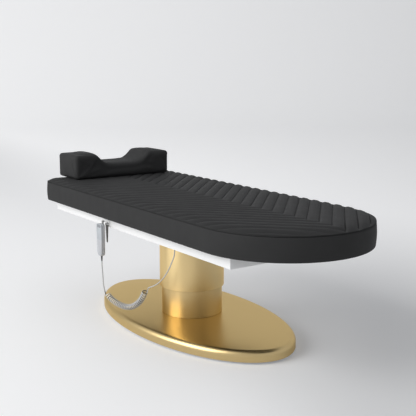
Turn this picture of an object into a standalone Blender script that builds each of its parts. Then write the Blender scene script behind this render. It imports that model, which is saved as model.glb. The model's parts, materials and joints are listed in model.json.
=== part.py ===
"""Electric treatment bed: a quilted pad on a white steel frame, carried by one telescopic
column on an oval base, with a corded handset hung from the frame and a loose head pillow.

Metres, +Z up, +X towards the rounded foot end, -Y towards the handset side.
The origin is on the floor, under the middle of the bed's length and width.
"""

import math

import bmesh
import bpy
import numpy as np
from mathutils import Matrix, Vector

# General clearances
GAP = 0.0003
OVERRUN = 0.004

# Pad: one foam mattress on a stiff board
MATTRESS_LENGTH = 1.900
MATTRESS_WIDTH = 0.750
HEAD_CORNER_RADIUS = 0.060
SIDE_BAND_HEIGHT = 0.0835
SIDE_BAND_BULGE = 0.003
SIDE_FOOT_RISE = 0.014
SIDE_FOOT_TUCK = 0.006
CROWN_HEIGHT = 0.0195
CROWN_EDGE = 0.100
RIB_PITCH = 0.0706
RIB_SLOPE_SHARE = 1.04
FIRST_GROOVE = 0.047
RIB_DEPTH = 0.006
MERGE_STEP = 0.0006
HALF_WIDTH_COLUMNS = 9
EDGE_ROWS = 4
BOARD_THICKNESS = 0.012
BOARD_INSET = 0.017
COVER_LAP = 0.005

# Pillow with a neck hollow
PILLOW_DEPTH = 0.224
PILLOW_WIDTH = 0.564
PILLOW_HEIGHT = 0.1264
PILLOW_OVERHANG = 0.012
NECK_HOLLOW_DEPTH = 0.0535
NECK_FLAT_HALF_WIDTH = 0.020
NECK_FLANK_WIDTH = 0.137
PILLOW_EDGE_ROUND = 0.020
PILLOW_STATIONS = 22
PILLOW_LIFT = 0.150

# Frame of folded channel
FRAME_UNDERSIDE = 0.4635
RAIL_HEIGHT = 0.052
RAIL_DEPTH = 0.025
RAIL_WALL = 0.0025
FRAME_SIDE_INSET = 0.050
FRAME_HEAD_INSET = 0.060
FRAME_FOOT_INSET = 0.283
CROSS_WIDTH = 0.040
CROSS_WALL = 0.0025
CROSS_OFFSET = 0.100
OUTER_CROSS_HEAD = 0.620
OUTER_CROSS_FOOT = 0.600
CROSS_END_CLEARANCE = 0.002
WELD_DEPTH = 0.0005

# Oval base
BASE_LENGTH = 1.312
BASE_WIDTH = 0.664
BASE_COVER_HEIGHT = 0.048
BASE_COVER_WALL = 0.002
BASE_SHOULDER = 0.016
BASE_SEGMENTS = 64
BASE_SHOULDER_STEPS = 3
BASE_PLATE_THICKNESS = 0.010
FOOT_HEIGHT = 0.009
FOOT_RADIUS = 0.025
FEET = 4
FOOT_RING_SHARE = 0.82
STUDS = 6
STUD_RADIUS = 0.010
STUD_RING_SHARE = 0.66

# Column
COLUMN_OFFSET = -0.083
LOWER_SLEEVE_RADIUS = 0.1437
UPPER_SLEEVE_RADIUS = 0.1533
SLEEVE_WALL = 0.0015
LOWER_SLEEVE_LENGTH = 0.268
UPPER_SLEEVE_LENGTH = 0.268
SLEEVE_SEGMENTS = 64
COVER_HOLE_MARGIN = 0.006
WIPER_HEIGHT = 0.012
WIPER_RECESS = 0.003
LIFT_DOWN = 0.120
LIFT_UP = 0.080

# Column foot and its bolts
FOOT_PLATE_LENGTH = 0.300
FOOT_PLATE_WIDTH = 0.150
FOOT_PLATE_THICKNESS = 0.008
BOLT_RADIUS = 0.0047
BOLT_HEAD_RADIUS = 0.0085
BOLT_HEAD_HEIGHT = 0.006
FOOT_BOLT_INSET = 0.014

# Carrier plate under the frame
CARRIER_LENGTH = 0.320
CARRIER_WIDTH = 0.320
CARRIER_THICKNESS = 0.008
CARRIER_BOLT_INSET = 0.020
CARRIER_BOLT_REACH = 0.012
TUBE_PASS_MARGIN = 0.004

# Guide posts
GUIDE_OFFSET = 0.092
GUIDE_OUTER_SIZE = 0.064
GUIDE_INNER_SIZE = 0.050
GUIDE_WALL = 0.003
GUIDE_OUTER_LENGTH = 0.298
GUIDE_FLOOR_CLEARANCE = 0.008
GUIDE_BUSH_HEIGHT = 0.036
GUIDE_BUSH_MARGIN = 0.004

# Linear actuator
CLEVIS_WALL = 0.006
CLEVIS_LENGTH = 0.030
PIN_RADIUS = 0.0047
PIN_HEAD_RADIUS = 0.0075
PIN_HEAD_THICKNESS = 0.003
GEARBOX_WIDTH = 0.060
GEARBOX_THICKNESS = 0.056
GEARBOX_HEIGHT = 0.068
GEARBOX_EDGE_BELOW_PIN = 0.012
GEARBOX_FLOOR_CLEARANCE = 0.005
GEARBOX_ARM_REACH = 0.065
GEARBOX_ARM_HEIGHT = 0.038
GEARBOX_BEVEL = 0.003
MOTOR_RADIUS = 0.029
MOTOR_LENGTH = 0.105
MOTOR_CAP_RADIUS = 0.024
MOTOR_CAP_HEIGHT = 0.008
ACTUATOR_TUBE_RADIUS = 0.021
ACTUATOR_TUBE_WALL = 0.003
ACTUATOR_TUBE_LENGTH = 0.2385
BUSH_HEIGHT = 0.011
SCREW_RADIUS = 0.008
SCREW_COLLAR_RADIUS = 0.011
SCREW_SEAT_DEPTH = 0.038
SCREW_LEAD = 0.012
NUT_HEIGHT = 0.023
PUSH_TUBE_RADIUS = 0.015
PUSH_TUBE_WALL = 0.004
END_LUG_HEIGHT = 0.036
END_LUG_ABOVE_PIN = 0.014
END_LUG_THICKNESS = 0.020
UPPER_PIN_BELOW_BRIDGE = 0.019
BRIDGE_WIDTH = 0.044
BRIDGE_THICKNESS = 0.008

# Control box with the handset socket and the mains inlet
BOX_LENGTH = 0.160
BOX_WIDTH = 0.082
BOX_HEIGHT = 0.041
BOX_EDGE = 0.004
BOX_RAIL_CLEARANCE = 0.003
SOCKET_FROM_HANDSET = 0.504
SOCKET_FROM_RAIL_FACE = 0.055
SOCKET_RADIUS = 0.009
SOCKET_BORE = 0.0055
SOCKET_HEIGHT = 0.004
PLUG_RADIUS = 0.0065
PLUG_BODY_LENGTH = 0.019
PLUG_TAPER_LENGTH = 0.010
INLET_WIDTH = 0.028
INLET_HEIGHT = 0.020
INLET_DEPTH = 0.018
INLET_WALL = 0.003
INLET_FLOOR = 0.004
INLET_PIN_LENGTH = 0.008
INLET_PIN_WIDTH = 0.002
INLET_PIN_HEIGHT = 0.004
INLET_PIN_SPACING = 0.007

# Handset
HANDSET_X = -0.305
HANDSET_STANDOFF = 0.0295
HANDSET_TOP_BELOW_PAD = 0.0338
HANDSET_LENGTH = 0.154
HANDSET_WIDTH = 0.054
HANDSET_FOOT_WIDTH = 0.047
HANDSET_TOP_RADIUS = 0.010
HANDSET_FOOT_RADIUS = 0.019
HANDSET_BODY_DEPTH = 0.0125
FASCIA_DEPTH = 0.0055
FASCIA_INSET = 0.0012
SHELL_BEVEL = 0.0022
BUTTON_RADIUS = 0.0068
BUTTON_LENGTH = 0.0048
BUTTON_PROUD = 0.0012
BUTTON_TRAVEL = 0.0012
BUTTON_SPACING = 0.0175
BUTTON_BELOW_TOP = 0.0105
BUTTON_CLEARANCE = 0.0003
LED_RADIUS = 0.0016
LED_LENGTH = 0.004
LED_BELOW_TOP = 0.026
RELIEF_LENGTH = 0.025
RELIEF_TOP_RADIUS = 0.0048
RELIEF_END_RADIUS = 0.0032

# Handset hanger on the near rail
HANGER_WIDTH = 0.040
HANGER_WALL = 0.0025
HANGER_PLATE_HEIGHT = 0.0375
HANGER_PLATE_ABOVE_UNDERSIDE = 0.003
HANGER_ARM_ABOVE_UNDERSIDE = 0.014
HANGER_LIP_HEIGHT = 0.012
HANDSET_LIFT = 0.013
CLIP_WIDTH = 0.014
CLIP_WALL = 0.003
CLIP_LEG = 0.0095
CLIP_PAD_HEIGHT = 0.032
TONGUE_LENGTH = 0.089
TONGUE_TOP_WIDTH = 0.025
TONGUE_TIP_WIDTH = 0.009
TONGUE_THICKNESS = 0.004
SCREW_HEAD_RADIUS = 0.0036
SCREW_HEAD_HEIGHT = 0.002
SCREW_SHANK_RADIUS = 0.0018
SCREW_SHANK_LENGTH = 0.009
HANGER_SCREW_SPACING = 0.022
HANGER_SCREW_BELOW_TOP = 0.005

# Curly cord of the handset
CORD_DIAMETER = 0.0050
CURL_OUTER_DIAMETER = 0.028
CURL_TURNS = 27
CURL_ENTRY_ANGLE = -90.0
CURL_RUN_IN = 0.030
POINTS_PER_CURL = 8
CURL_START_INDEX = 6
CURL_END_INDEX = 15
LEAD_STEP = 0.009
END_STEP = 0.0006
ROUTE_SAMPLES = 40
# The cord's own route: metres along from the handset, out from the rail's face and up from its foot
CORD_ROUTE = [
    (0.0000, -0.0363, -0.1610),
    (0.0000, -0.0363, -0.1790),
    (0.0021, -0.0359, -0.2029),
    (0.0053, -0.0353, -0.2391),
    (0.0082, -0.0348, -0.2730),
    (0.0156, -0.0335, -0.2991),
    (0.0355, -0.0299, -0.3151),
    (0.0577, -0.0258, -0.3295),
    (0.0873, -0.0205, -0.3407),
    (0.1247, -0.0137, -0.3480),
    (0.1654, -0.0063, -0.3495),
    (0.2058, 0.0010, -0.3418),
    (0.2415, 0.0074, -0.3247),
    (0.2727, 0.0131, -0.2999),
    (0.2960, 0.0173, -0.2704),
    (0.3123, 0.0203, -0.2418),
    (0.3316, 0.0238, -0.2253),
    (0.3558, 0.0282, -0.2143),
    (0.3845, 0.0334, -0.1993),
    (0.4169, 0.0392, -0.1742),
    (0.4457, 0.0444, -0.1438),
    (0.4696, 0.0488, -0.1098),
    (0.4882, 0.0521, -0.0759),
    (0.5006, 0.0544, -0.0475),
    (0.5040, 0.0550, -0.0236),
]

# Facets of round pieces
ROUND_STEPS = 32
SMALL_ROUND_STEPS = 16
ARC_STEPS = 5
FOOT_END_STEPS = 24

# Places worked out from the sizes above
BED_X = PILLOW_OVERHANG / 2
HALF_LENGTH = MATTRESS_LENGTH / 2
HALF_WIDTH = MATTRESS_WIDTH / 2
PAD_HEAD_X = BED_X - HALF_LENGTH
PAD_FOOT_X = BED_X + HALF_LENGTH
FOOT_ARC_X = PAD_FOOT_X - HALF_WIDTH
COLUMN_X = BED_X + COLUMN_OFFSET
RAIL_TOP = FRAME_UNDERSIDE + RAIL_HEIGHT
BOARD_Z = RAIL_TOP + GAP
MATTRESS_Z = BOARD_Z + BOARD_THICKNESS + GAP
SEAM_Z = MATTRESS_Z + SIDE_BAND_HEIGHT
CREST_Z = SEAM_Z + CROWN_HEIGHT
FRAME_Y = HALF_WIDTH - FRAME_SIDE_INSET
FRAME_HEAD_X = PAD_HEAD_X + FRAME_HEAD_INSET
FRAME_FOOT_X = PAD_FOOT_X - FRAME_FOOT_INSET
CROSS_Z = FRAME_UNDERSIDE + RAIL_WALL - WELD_DEPTH
CROSS_HEIGHT = RAIL_HEIGHT - 2 * RAIL_WALL + 2 * WELD_DEPTH
CARRIER_TOP = CROSS_Z - GAP
CARRIER_Z = CARRIER_TOP - CARRIER_THICKNESS
BASE_TOP = FOOT_HEIGHT + BASE_COVER_HEIGHT
PLATE_TOP = FOOT_HEIGHT + BASE_PLATE_THICKNESS
FOOT_PLATE_Z = PLATE_TOP + GAP
FOOT_PLATE_TOP = FOOT_PLATE_Z + FOOT_PLATE_THICKNESS
GEARBOX_Z = FOOT_PLATE_TOP + GEARBOX_FLOOR_CLEARANCE
LOWER_PIN_Z = GEARBOX_Z + GEARBOX_EDGE_BELOW_PIN
GEARBOX_TOP = GEARBOX_Z + GEARBOX_HEIGHT
TUBE_TOP = GEARBOX_TOP + GAP + ACTUATOR_TUBE_LENGTH
BRIDGE_TOP = CROSS_Z + CROSS_HEIGHT
BRIDGE_Z = BRIDGE_TOP - BRIDGE_THICKNESS
UPPER_PIN_Z = BRIDGE_Z - UPPER_PIN_BELOW_BRIDGE
END_LUG_Z = UPPER_PIN_Z + END_LUG_ABOVE_PIN - END_LUG_HEIGHT
NUT_TOP = TUBE_TOP - BUSH_HEIGHT - GAP - LIFT_UP
BOX_TOP = BOARD_Z - GAP
BOX_Z = BOX_TOP - BOX_HEIGHT
SOCKET_X = HANDSET_X + SOCKET_FROM_HANDSET
SOCKET_Y = SOCKET_FROM_RAIL_FACE - FRAME_Y
SOCKET_Z = BOX_Z - GAP - SOCKET_HEIGHT
PLUG_TOP = BOX_Z - 2 * GAP
PLUG_SHOULDER = SOCKET_Z - GAP
HANDSET_TOP = BOARD_Z - HANDSET_TOP_BELOW_PAD
HANDSET_FOOT = HANDSET_TOP - HANDSET_LENGTH
RAIL_FACE = -FRAME_Y
HANGER_FACE = RAIL_FACE - GAP - HANGER_WALL
HANDSET_BACK_Y = RAIL_FACE - HANDSET_STANDOFF
HANDSET_BODY_FRONT = HANDSET_BACK_Y - HANDSET_BODY_DEPTH
HANDSET_FRONT = HANDSET_BODY_FRONT - GAP - FASCIA_DEPTH
ARM_UNDERSIDE = FRAME_UNDERSIDE + HANGER_ARM_ABOVE_UNDERSIDE
LIP_TOP = ARM_UNDERSIDE + HANGER_WALL + HANGER_LIP_HEIGHT
CLIP_BACK_Y = HANDSET_BACK_Y + GAP
LIP_OUTER_Y = CLIP_BACK_Y + CLIP_WALL + GAP
LIP_INNER_Y = LIP_OUTER_Y + HANGER_WALL

# Turns a flat outline drawn in X and Y into the Y-Z plane or the X-Z plane
STAND_ON_YZ = Matrix(((0, 0, 1, 0), (1, 0, 0, 0), (0, 1, 0, 0), (0, 0, 0, 1)))
STAND_ON_XZ = Matrix(((1, 0, 0, 0), (0, 0, -1, 0), (0, 1, 0, 0), (0, 0, 0, 1)))


def clear_scene():
    for item in list(bpy.data.objects):
        bpy.data.objects.remove(item, do_unlink=True)


def new_collection(name):
    collection = bpy.data.collections.new(name)
    bpy.context.scene.collection.children.link(collection)
    return collection


def linear(channel):
    """One sRGB channel from 0 to 1, as the linear value that a shader takes."""
    return channel / 12.92 if channel <= 0.04045 else ((channel + 0.055) / 1.055) ** 2.4


def new_material(name, hex_colour, roughness, metallic=0.0):
    material = bpy.data.materials.new(name)
    material.use_nodes = True
    shader = material.node_tree.nodes["Principled BSDF"]
    channels = [int(hex_colour[i : i + 2], 16) / 255 for i in (0, 2, 4)]
    shader.inputs["Base Color"].default_value = [linear(c) for c in channels] + [1.0]
    shader.inputs["Roughness"].default_value = roughness
    shader.inputs["Metallic"].default_value = metallic
    return material


def add_box(bm, low, high):
    """A box between two corners, from a unit cube."""
    low, high = Vector(low), Vector(high)
    size = high - low
    place = Matrix.Translation((low + high) / 2) @ Matrix.Diagonal((*size, 1.0))
    bmesh.ops.create_cube(bm, size=1.0, matrix=place)


def add_rod(bm, start, end, radius, end_radius=None, steps=ROUND_STEPS):
    """A round bar or taper from start to end."""
    start, end = Vector(start), Vector(end)
    along = end - start
    turn = Vector((0, 0, 1)).rotation_difference(along).to_matrix().to_4x4()
    bmesh.ops.create_cone(
        bm,
        cap_ends=True,
        segments=steps,
        radius1=radius,
        radius2=radius if end_radius is None else end_radius,
        depth=along.length,
        matrix=Matrix.Translation((start + end) / 2) @ turn,
    )


def make_object(name, mesh, material, parent, origin=(0, 0, 0)):
    """Puts a mesh drawn in the bed's frame into an object whose own origin is given."""
    origin = Vector(origin)
    mesh.transform(Matrix.Translation(-origin))
    item = bpy.data.objects.new(name, mesh)
    item.location = origin
    mesh.materials.append(material)
    MODEL.objects.link(item)
    if parent is not None:
        item.parent = parent
        item.matrix_parent_inverse = Matrix.Translation(parent.location).inverted()
    return item


def from_bmesh(name, bm, material, parent, origin=(0, 0, 0), smooth=True):
    mesh = bpy.data.meshes.new(name)
    bm.to_mesh(mesh)
    bm.free()
    if smooth:
        mesh.shade_smooth()
        mesh.set_sharp_from_angle(angle=math.radians(35))
    return make_object(name, mesh, material, parent, origin)


def box_part(name, low, high, material, parent, bevel=0.0):
    bm = bmesh.new()
    add_box(bm, low, high)
    item = from_bmesh(name, bm, material, parent, (Vector(low) + Vector(high)) / 2, smooth=False)
    if bevel:
        round_edges(item, bevel)
    return item


def round_edges(item, width, segments=2):
    bevel = item.modifiers.new("rounded edges", "BEVEL")
    bevel.width = width
    bevel.segments = segments
    bevel.limit_method = "ANGLE"
    bevel.angle_limit = math.radians(40)


def outline_mesh(name, outlines, thickness, turn, centre):
    """A flat plate from closed outlines: the first is the edge, any others are holes."""
    curve = bpy.data.curves.new(name, "CURVE")
    curve.dimensions = "2D"
    curve.fill_mode = "BOTH"
    curve.extrude = thickness / 2
    for points in outlines:
        spline = curve.splines.new("POLY")
        spline.points.add(len(points) - 1)
        for point, (u, v) in zip(spline.points, points):
            point.co = (u, v, 0.0, 1.0)
        spline.use_cyclic_u = True
    drawn = bpy.data.objects.new(name, curve)
    bpy.context.scene.collection.objects.link(drawn)
    bpy.context.view_layer.update()
    graph = bpy.context.evaluated_depsgraph_get()
    mesh = bpy.data.meshes.new_from_object(drawn.evaluated_get(graph))
    bpy.data.objects.remove(drawn, do_unlink=True)
    bm = bmesh.new()
    bm.from_mesh(mesh)
    bmesh.ops.remove_doubles(bm, verts=bm.verts, dist=GAP / 100)
    bmesh.ops.transform(bm, matrix=Matrix.Translation(centre) @ turn, verts=bm.verts)
    bmesh.ops.recalc_face_normals(bm, faces=bm.faces)
    bm.to_mesh(mesh)
    bm.free()
    return mesh


def plate_part(name, outlines, thickness, turn, centre, material, parent):
    mesh = outline_mesh(name, outlines, thickness, turn, centre)
    mesh.shade_smooth()
    mesh.set_sharp_from_angle(angle=math.radians(35))
    return make_object(name, mesh, material, parent, centre)


def turned_part(name, profile, centre, material, parent, steps=ROUND_STEPS):
    """A piece turned about +Z: the profile is a closed loop of radius and height, outer side first."""
    mesh = bpy.data.meshes.new(name)
    points = [(radius, 0.0, height) for radius, height in profile]
    edges = [(i, (i + 1) % len(points)) for i in range(len(points))]
    if profile[0][0] == 0 and profile[-1][0] == 0:
        edges.pop()
    mesh.from_pydata(points, edges, [])
    item = make_object(name, mesh, material, parent)
    item.location = centre
    screw = item.modifiers.new("turned", "SCREW")
    screw.angle = math.tau
    screw.steps = steps
    screw.render_steps = steps
    screw.use_merge_vertices = True
    screw.merge_threshold = GAP / 10
    screw.use_smooth_shade = True
    return item


def ring_profile(outer, inner, bottom, top):
    return [(outer, top), (outer, bottom), (inner, bottom), (inner, top)]


def cut(item, bm, name, operation="DIFFERENCE"):
    """Cuts the solids held in bm out of an object."""
    mesh = bpy.data.meshes.new(name)
    bm.to_mesh(mesh)
    bm.free()
    cutter = bpy.data.objects.new(name, mesh)
    cutter.hide_render = True
    cutter.display_type = "WIRE"
    CUTTERS.objects.link(cutter)
    boolean = item.modifiers.new(name, "BOOLEAN")
    boolean.operation = operation
    boolean.object = cutter
    boolean.solver = "EXACT"
    return item


def axis_empty(name, place, parent=None):
    empty = bpy.data.objects.new(name, None)
    empty.location = place
    MODEL.objects.link(empty)
    if parent is not None:
        empty.parent = parent
        empty.matrix_parent_inverse = Matrix.Translation(parent.location).inverted()
        bpy.context.view_layer.update()
    return empty


def arc(centre, radius, start, end, steps=ARC_STEPS):
    """Points on an arc between two angles in degrees."""
    angles = [math.radians(start + (end - start) * i / steps) for i in range(steps + 1)]
    return [(centre[0] + radius * math.cos(a), centre[1] + radius * math.sin(a)) for a in angles]


def ellipse(half_length, half_width, steps=BASE_SEGMENTS):
    angles = [math.tau * i / steps for i in range(steps)]
    return [(half_length * math.cos(a), half_width * math.sin(a)) for a in angles]


# The oval base

def build_base(parent):
    half_length, half_width = BASE_LENGTH / 2, BASE_WIDTH / 2
    bm = bmesh.new()
    bmesh.ops.create_circle(bm, cap_ends=True, radius=1.0, segments=BASE_SEGMENTS)
    bmesh.ops.scale(bm, vec=(half_length, half_width, 1.0), verts=bm.verts)
    wall = bmesh.ops.extrude_face_region(bm, geom=list(bm.faces))
    raised = [v for v in wall["geom"] if isinstance(v, bmesh.types.BMVert)]
    bmesh.ops.translate(bm, vec=(0, 0, BASE_COVER_HEIGHT), verts=raised)
    floor = [f for f in bm.faces if all(v.co.z < BASE_COVER_HEIGHT / 2 for v in f.verts)]
    bmesh.ops.delete(bm, geom=floor, context="FACES_ONLY")
    bmesh.ops.recalc_face_normals(bm, faces=bm.faces)
    bmesh.ops.translate(bm, vec=(COLUMN_X, 0, FOOT_HEIGHT), verts=bm.verts)
    cover = from_bmesh("base_cover", bm, GOLD, parent, (COLUMN_X, 0, FOOT_HEIGHT))
    round_edges(cover, BASE_SHOULDER, BASE_SHOULDER_STEPS)
    shell = cover.modifiers.new("sheet", "SOLIDIFY")
    shell.thickness = BASE_COVER_WALL
    shell.offset = -1.0
    shell.use_even_offset = True
    hole = bmesh.new()
    hole_radius = LOWER_SLEEVE_RADIUS - SLEEVE_WALL - COVER_HOLE_MARGIN
    low = Vector((COLUMN_X, 0, PLATE_TOP))
    add_rod(hole, low, low + Vector((0, 0, BASE_TOP)), hole_radius, steps=SLEEVE_SEGMENTS)
    cut(cover, hole, "column_hole")

    inset = BASE_COVER_WALL + 2 * GAP
    plate_outline = ellipse(half_length - inset, half_width - inset)
    plate_centre = (COLUMN_X, 0, FOOT_HEIGHT + BASE_PLATE_THICKNESS / 2)
    plate = plate_part(
        "base_plate", [plate_outline], BASE_PLATE_THICKNESS, Matrix(), plate_centre, STEEL, parent
    )
    cut(plate, foot_bolt_holes(), "base_plate_bolt_holes")
    studs = bmesh.new()
    top = BASE_TOP - BASE_COVER_WALL - GAP
    for x, y in ring_places(STUDS, STUD_RING_SHARE):
        start = (x, y, PLATE_TOP - OVERRUN)
        add_rod(studs, start, (x, y, top), STUD_RADIUS, steps=SMALL_ROUND_STEPS)
    cut(plate, studs, "cover_studs", "UNION")
    for index, (x, y) in enumerate(ring_places(FEET, FOOT_RING_SHARE), 1):
        foot = bmesh.new()
        add_rod(foot, (x, y, 0), (x, y, FOOT_HEIGHT - GAP), FOOT_RADIUS)
        from_bmesh(f"base_foot_{index}", foot, RUBBER, parent, (x, y, 0))


def ring_places(count, share):
    """Places spaced evenly by angle on an ellipse that is a share of the base's own."""
    angles = [math.tau * (index + 0.5) / count for index in range(count)]
    along, across = share * BASE_LENGTH / 2, share * BASE_WIDTH / 2
    return [(COLUMN_X + along * math.cos(a), across * math.sin(a)) for a in angles]


def foot_bolt_places():
    along = FOOT_PLATE_LENGTH / 2 - FOOT_BOLT_INSET
    across = FOOT_PLATE_WIDTH / 2 - FOOT_BOLT_INSET
    return [(COLUMN_X + sx * along, sy * across) for sx in (-1, 1) for sy in (-1, 1)]


def foot_bolt_holes():
    holes = bmesh.new()
    for x, y in foot_bolt_places():
        low, high = (x, y, FOOT_HEIGHT - OVERRUN), (x, y, FOOT_PLATE_TOP + OVERRUN)
        add_rod(holes, low, high, BOLT_RADIUS + GAP, steps=SMALL_ROUND_STEPS)
    return holes


def build_column_foot(parent):
    half = Vector((FOOT_PLATE_LENGTH / 2, FOOT_PLATE_WIDTH / 2, 0))
    low = Vector((COLUMN_X, 0, FOOT_PLATE_Z)) - half
    high = Vector((COLUMN_X, 0, FOOT_PLATE_TOP)) + half
    foot = box_part("column_foot", low, high, STEEL, parent)
    cut(foot, clevis(GEARBOX_WIDTH, LOWER_PIN_Z, FOOT_PLATE_TOP), "lower_clevis", "UNION")
    cut(foot, foot_bolt_holes(), "column_foot_bolt_holes")
    cut(foot, pin_bore(COLUMN_X, LOWER_PIN_Z, GEARBOX_WIDTH), "lower_clevis_bore")
    for index, (x, y) in enumerate(foot_bolt_places(), 1):
        seat = Vector((x, y, FOOT_PLATE_TOP + GAP))
        reach = FOOT_PLATE_TOP - FOOT_HEIGHT
        build_bolt(f"foot_bolt_{index}", seat, Vector((0, 0, -1)), reach, parent)


def build_bolt(name, seat, into, reach, parent):
    """A screw with a plain round head on its seat and a shank that runs along into."""
    rings = [
        (0.0, -BOLT_HEAD_HEIGHT),
        (BOLT_HEAD_RADIUS, -BOLT_HEAD_HEIGHT),
        (BOLT_HEAD_RADIUS, 0.0),
        (BOLT_RADIUS, 0.0),
        (BOLT_RADIUS, reach),
        (0.0, reach),
    ]
    bm = bmesh.new()
    add_spun(bm, rings, seat, into)
    from_bmesh(name, bm, STEEL, parent, seat)


def add_spun(bm, rings, seat, along, sides=SMALL_ROUND_STEPS):
    """A closed body of rings of radius and distance along a direction, from pole to pole."""
    turn = Vector((0, 0, 1)).rotation_difference(along).to_matrix().to_4x4()
    part = bmesh.new()
    line = [part.verts.new((radius, 0.0, height)) for radius, height in rings]
    edges = [part.edges.new((a, b)) for a, b in zip(line, line[1:])]
    bmesh.ops.spin(
        part,
        geom=line + edges,
        cent=(0, 0, 0),
        axis=(0, 0, 1),
        angle=math.tau,
        steps=sides,
        use_merge=True,
    )
    bmesh.ops.remove_doubles(part, verts=part.verts, dist=GAP / 100)
    bmesh.ops.recalc_face_normals(part, faces=part.faces)
    bmesh.ops.transform(part, matrix=Matrix.Translation(seat) @ turn, verts=part.verts)
    mesh = bpy.data.meshes.new("spun")
    part.to_mesh(mesh)
    part.free()
    bm.from_mesh(mesh)
    bpy.data.meshes.remove(mesh)


# The telescopic column

def build_sleeves(base, lift):
    inner = LOWER_SLEEVE_RADIUS - SLEEVE_WALL
    bottom = BASE_TOP + GAP
    profile = ring_profile(LOWER_SLEEVE_RADIUS, inner, 0.0, LOWER_SLEEVE_LENGTH)
    turned_part("lower_sleeve", profile, (COLUMN_X, 0, bottom), GOLD, base, SLEEVE_SEGMENTS)

    top = CARRIER_Z - GAP
    place = (COLUMN_X, 0, top - UPPER_SLEEVE_LENGTH)
    inner = UPPER_SLEEVE_RADIUS - SLEEVE_WALL
    profile = ring_profile(UPPER_SLEEVE_RADIUS, inner, 0.0, UPPER_SLEEVE_LENGTH)
    turned_part("upper_sleeve", profile, place, GOLD, lift, SLEEVE_SEGMENTS)

    profile = ring_profile(
        inner - GAP, LOWER_SLEEVE_RADIUS + GAP, WIPER_RECESS, WIPER_RECESS + WIPER_HEIGHT
    )
    turned_part("sleeve_wiper", profile, place, DARK_PLASTIC, lift, SLEEVE_SEGMENTS)


def square(size):
    half = size / 2
    return [(-half, -half), (half, -half), (half, half), (-half, half)]


def build_guides(base, lift):
    """Two square posts: inner tubes ride in outer tubes on a nylon bush fixed to each."""
    outer_z = FOOT_PLATE_TOP + GAP
    outer_top = outer_z + GUIDE_OUTER_LENGTH
    inner_z = FOOT_PLATE_TOP + LIFT_DOWN + GUIDE_FLOOR_CLEARANCE
    inner_top = CARRIER_Z - GAP
    bush = [
        square(GUIDE_OUTER_SIZE - 2 * GUIDE_WALL - 2 * GAP),
        square(GUIDE_INNER_SIZE + 2 * GAP),
    ]
    for side, sign in (("head", -1), ("foot", 1)):
        x = COLUMN_X + sign * GUIDE_OFFSET
        outer = [square(GUIDE_OUTER_SIZE), square(GUIDE_OUTER_SIZE - 2 * GUIDE_WALL)]
        centre = (x, 0, (outer_z + outer_top) / 2)
        name = f"guide_outer_{side}"
        plate_part(name, outer, GUIDE_OUTER_LENGTH, Matrix(), centre, STEEL, base)
        inner = [square(GUIDE_INNER_SIZE), square(GUIDE_INNER_SIZE - 2 * GUIDE_WALL)]
        centre = (x, 0, (inner_z + inner_top) / 2)
        name = f"guide_inner_{side}"
        plate_part(name, inner, inner_top - inner_z, Matrix(), centre, STEEL, lift)
        centre = (x, 0, outer_top - GUIDE_BUSH_MARGIN - GUIDE_BUSH_HEIGHT / 2)
        name = f"guide_bush_fixed_{side}"
        plate_part(name, bush, GUIDE_BUSH_HEIGHT, Matrix(), centre, NYLON, base)
        centre = (x, 0, inner_z + GUIDE_BUSH_MARGIN + GUIDE_BUSH_HEIGHT / 2)
        name = f"guide_bush_moving_{side}"
        plate_part(name, bush, GUIDE_BUSH_HEIGHT, Matrix(), centre, NYLON, lift)


# The linear actuator between the column foot and the frame

def clevis(inner_width, pin_z, plate_z):
    """Two ears with rounded ends for a pin, from inside the plate that carries them."""
    radius = CLEVIS_LENGTH / 2
    away = math.copysign(1.0, pin_z - plate_z)
    root = plate_z - away * WELD_DEPTH - pin_z
    ears = bmesh.new()
    outline = [(-radius, root)] + arc((0.0, 0.0), radius, 180, 180 - 180 * away, 12)
    outline.append((radius, root))
    for side in (-1, 1):
        middle = side * (inner_width / 2 + GAP + CLEVIS_WALL / 2)
        centre = (COLUMN_X, middle, pin_z)
        ear = outline_mesh("ear", [outline], CLEVIS_WALL, STAND_ON_XZ, centre)
        ears.from_mesh(ear)
        bpy.data.meshes.remove(ear)
    return ears


def pin_bore(x, z, width):
    bore = bmesh.new()
    half = width / 2 + CLEVIS_WALL + OVERRUN
    add_rod(bore, (x, -half, z), (x, half, z), PIN_RADIUS + GAP, steps=SMALL_ROUND_STEPS)
    return bore


def build_pin(name, z, inner_width, parent):
    """A headed pin whose head and collar stand just outside the clevis ears."""
    ear = inner_width / 2 + 2 * GAP + CLEVIS_WALL
    head = ear + PIN_HEAD_THICKNESS
    rings = [
        (0.0, -head),
        (PIN_HEAD_RADIUS, -head),
        (PIN_HEAD_RADIUS, -ear),
        (PIN_RADIUS, -ear),
        (PIN_RADIUS, ear),
        (PIN_HEAD_RADIUS, ear),
        (PIN_HEAD_RADIUS, head),
        (0.0, head),
    ]
    bm = bmesh.new()
    add_spun(bm, rings, Vector((COLUMN_X, 0, z)), Vector((0, 1, 0)))
    from_bmesh(name, bm, STEEL, parent, (COLUMN_X, 0, z))


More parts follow.
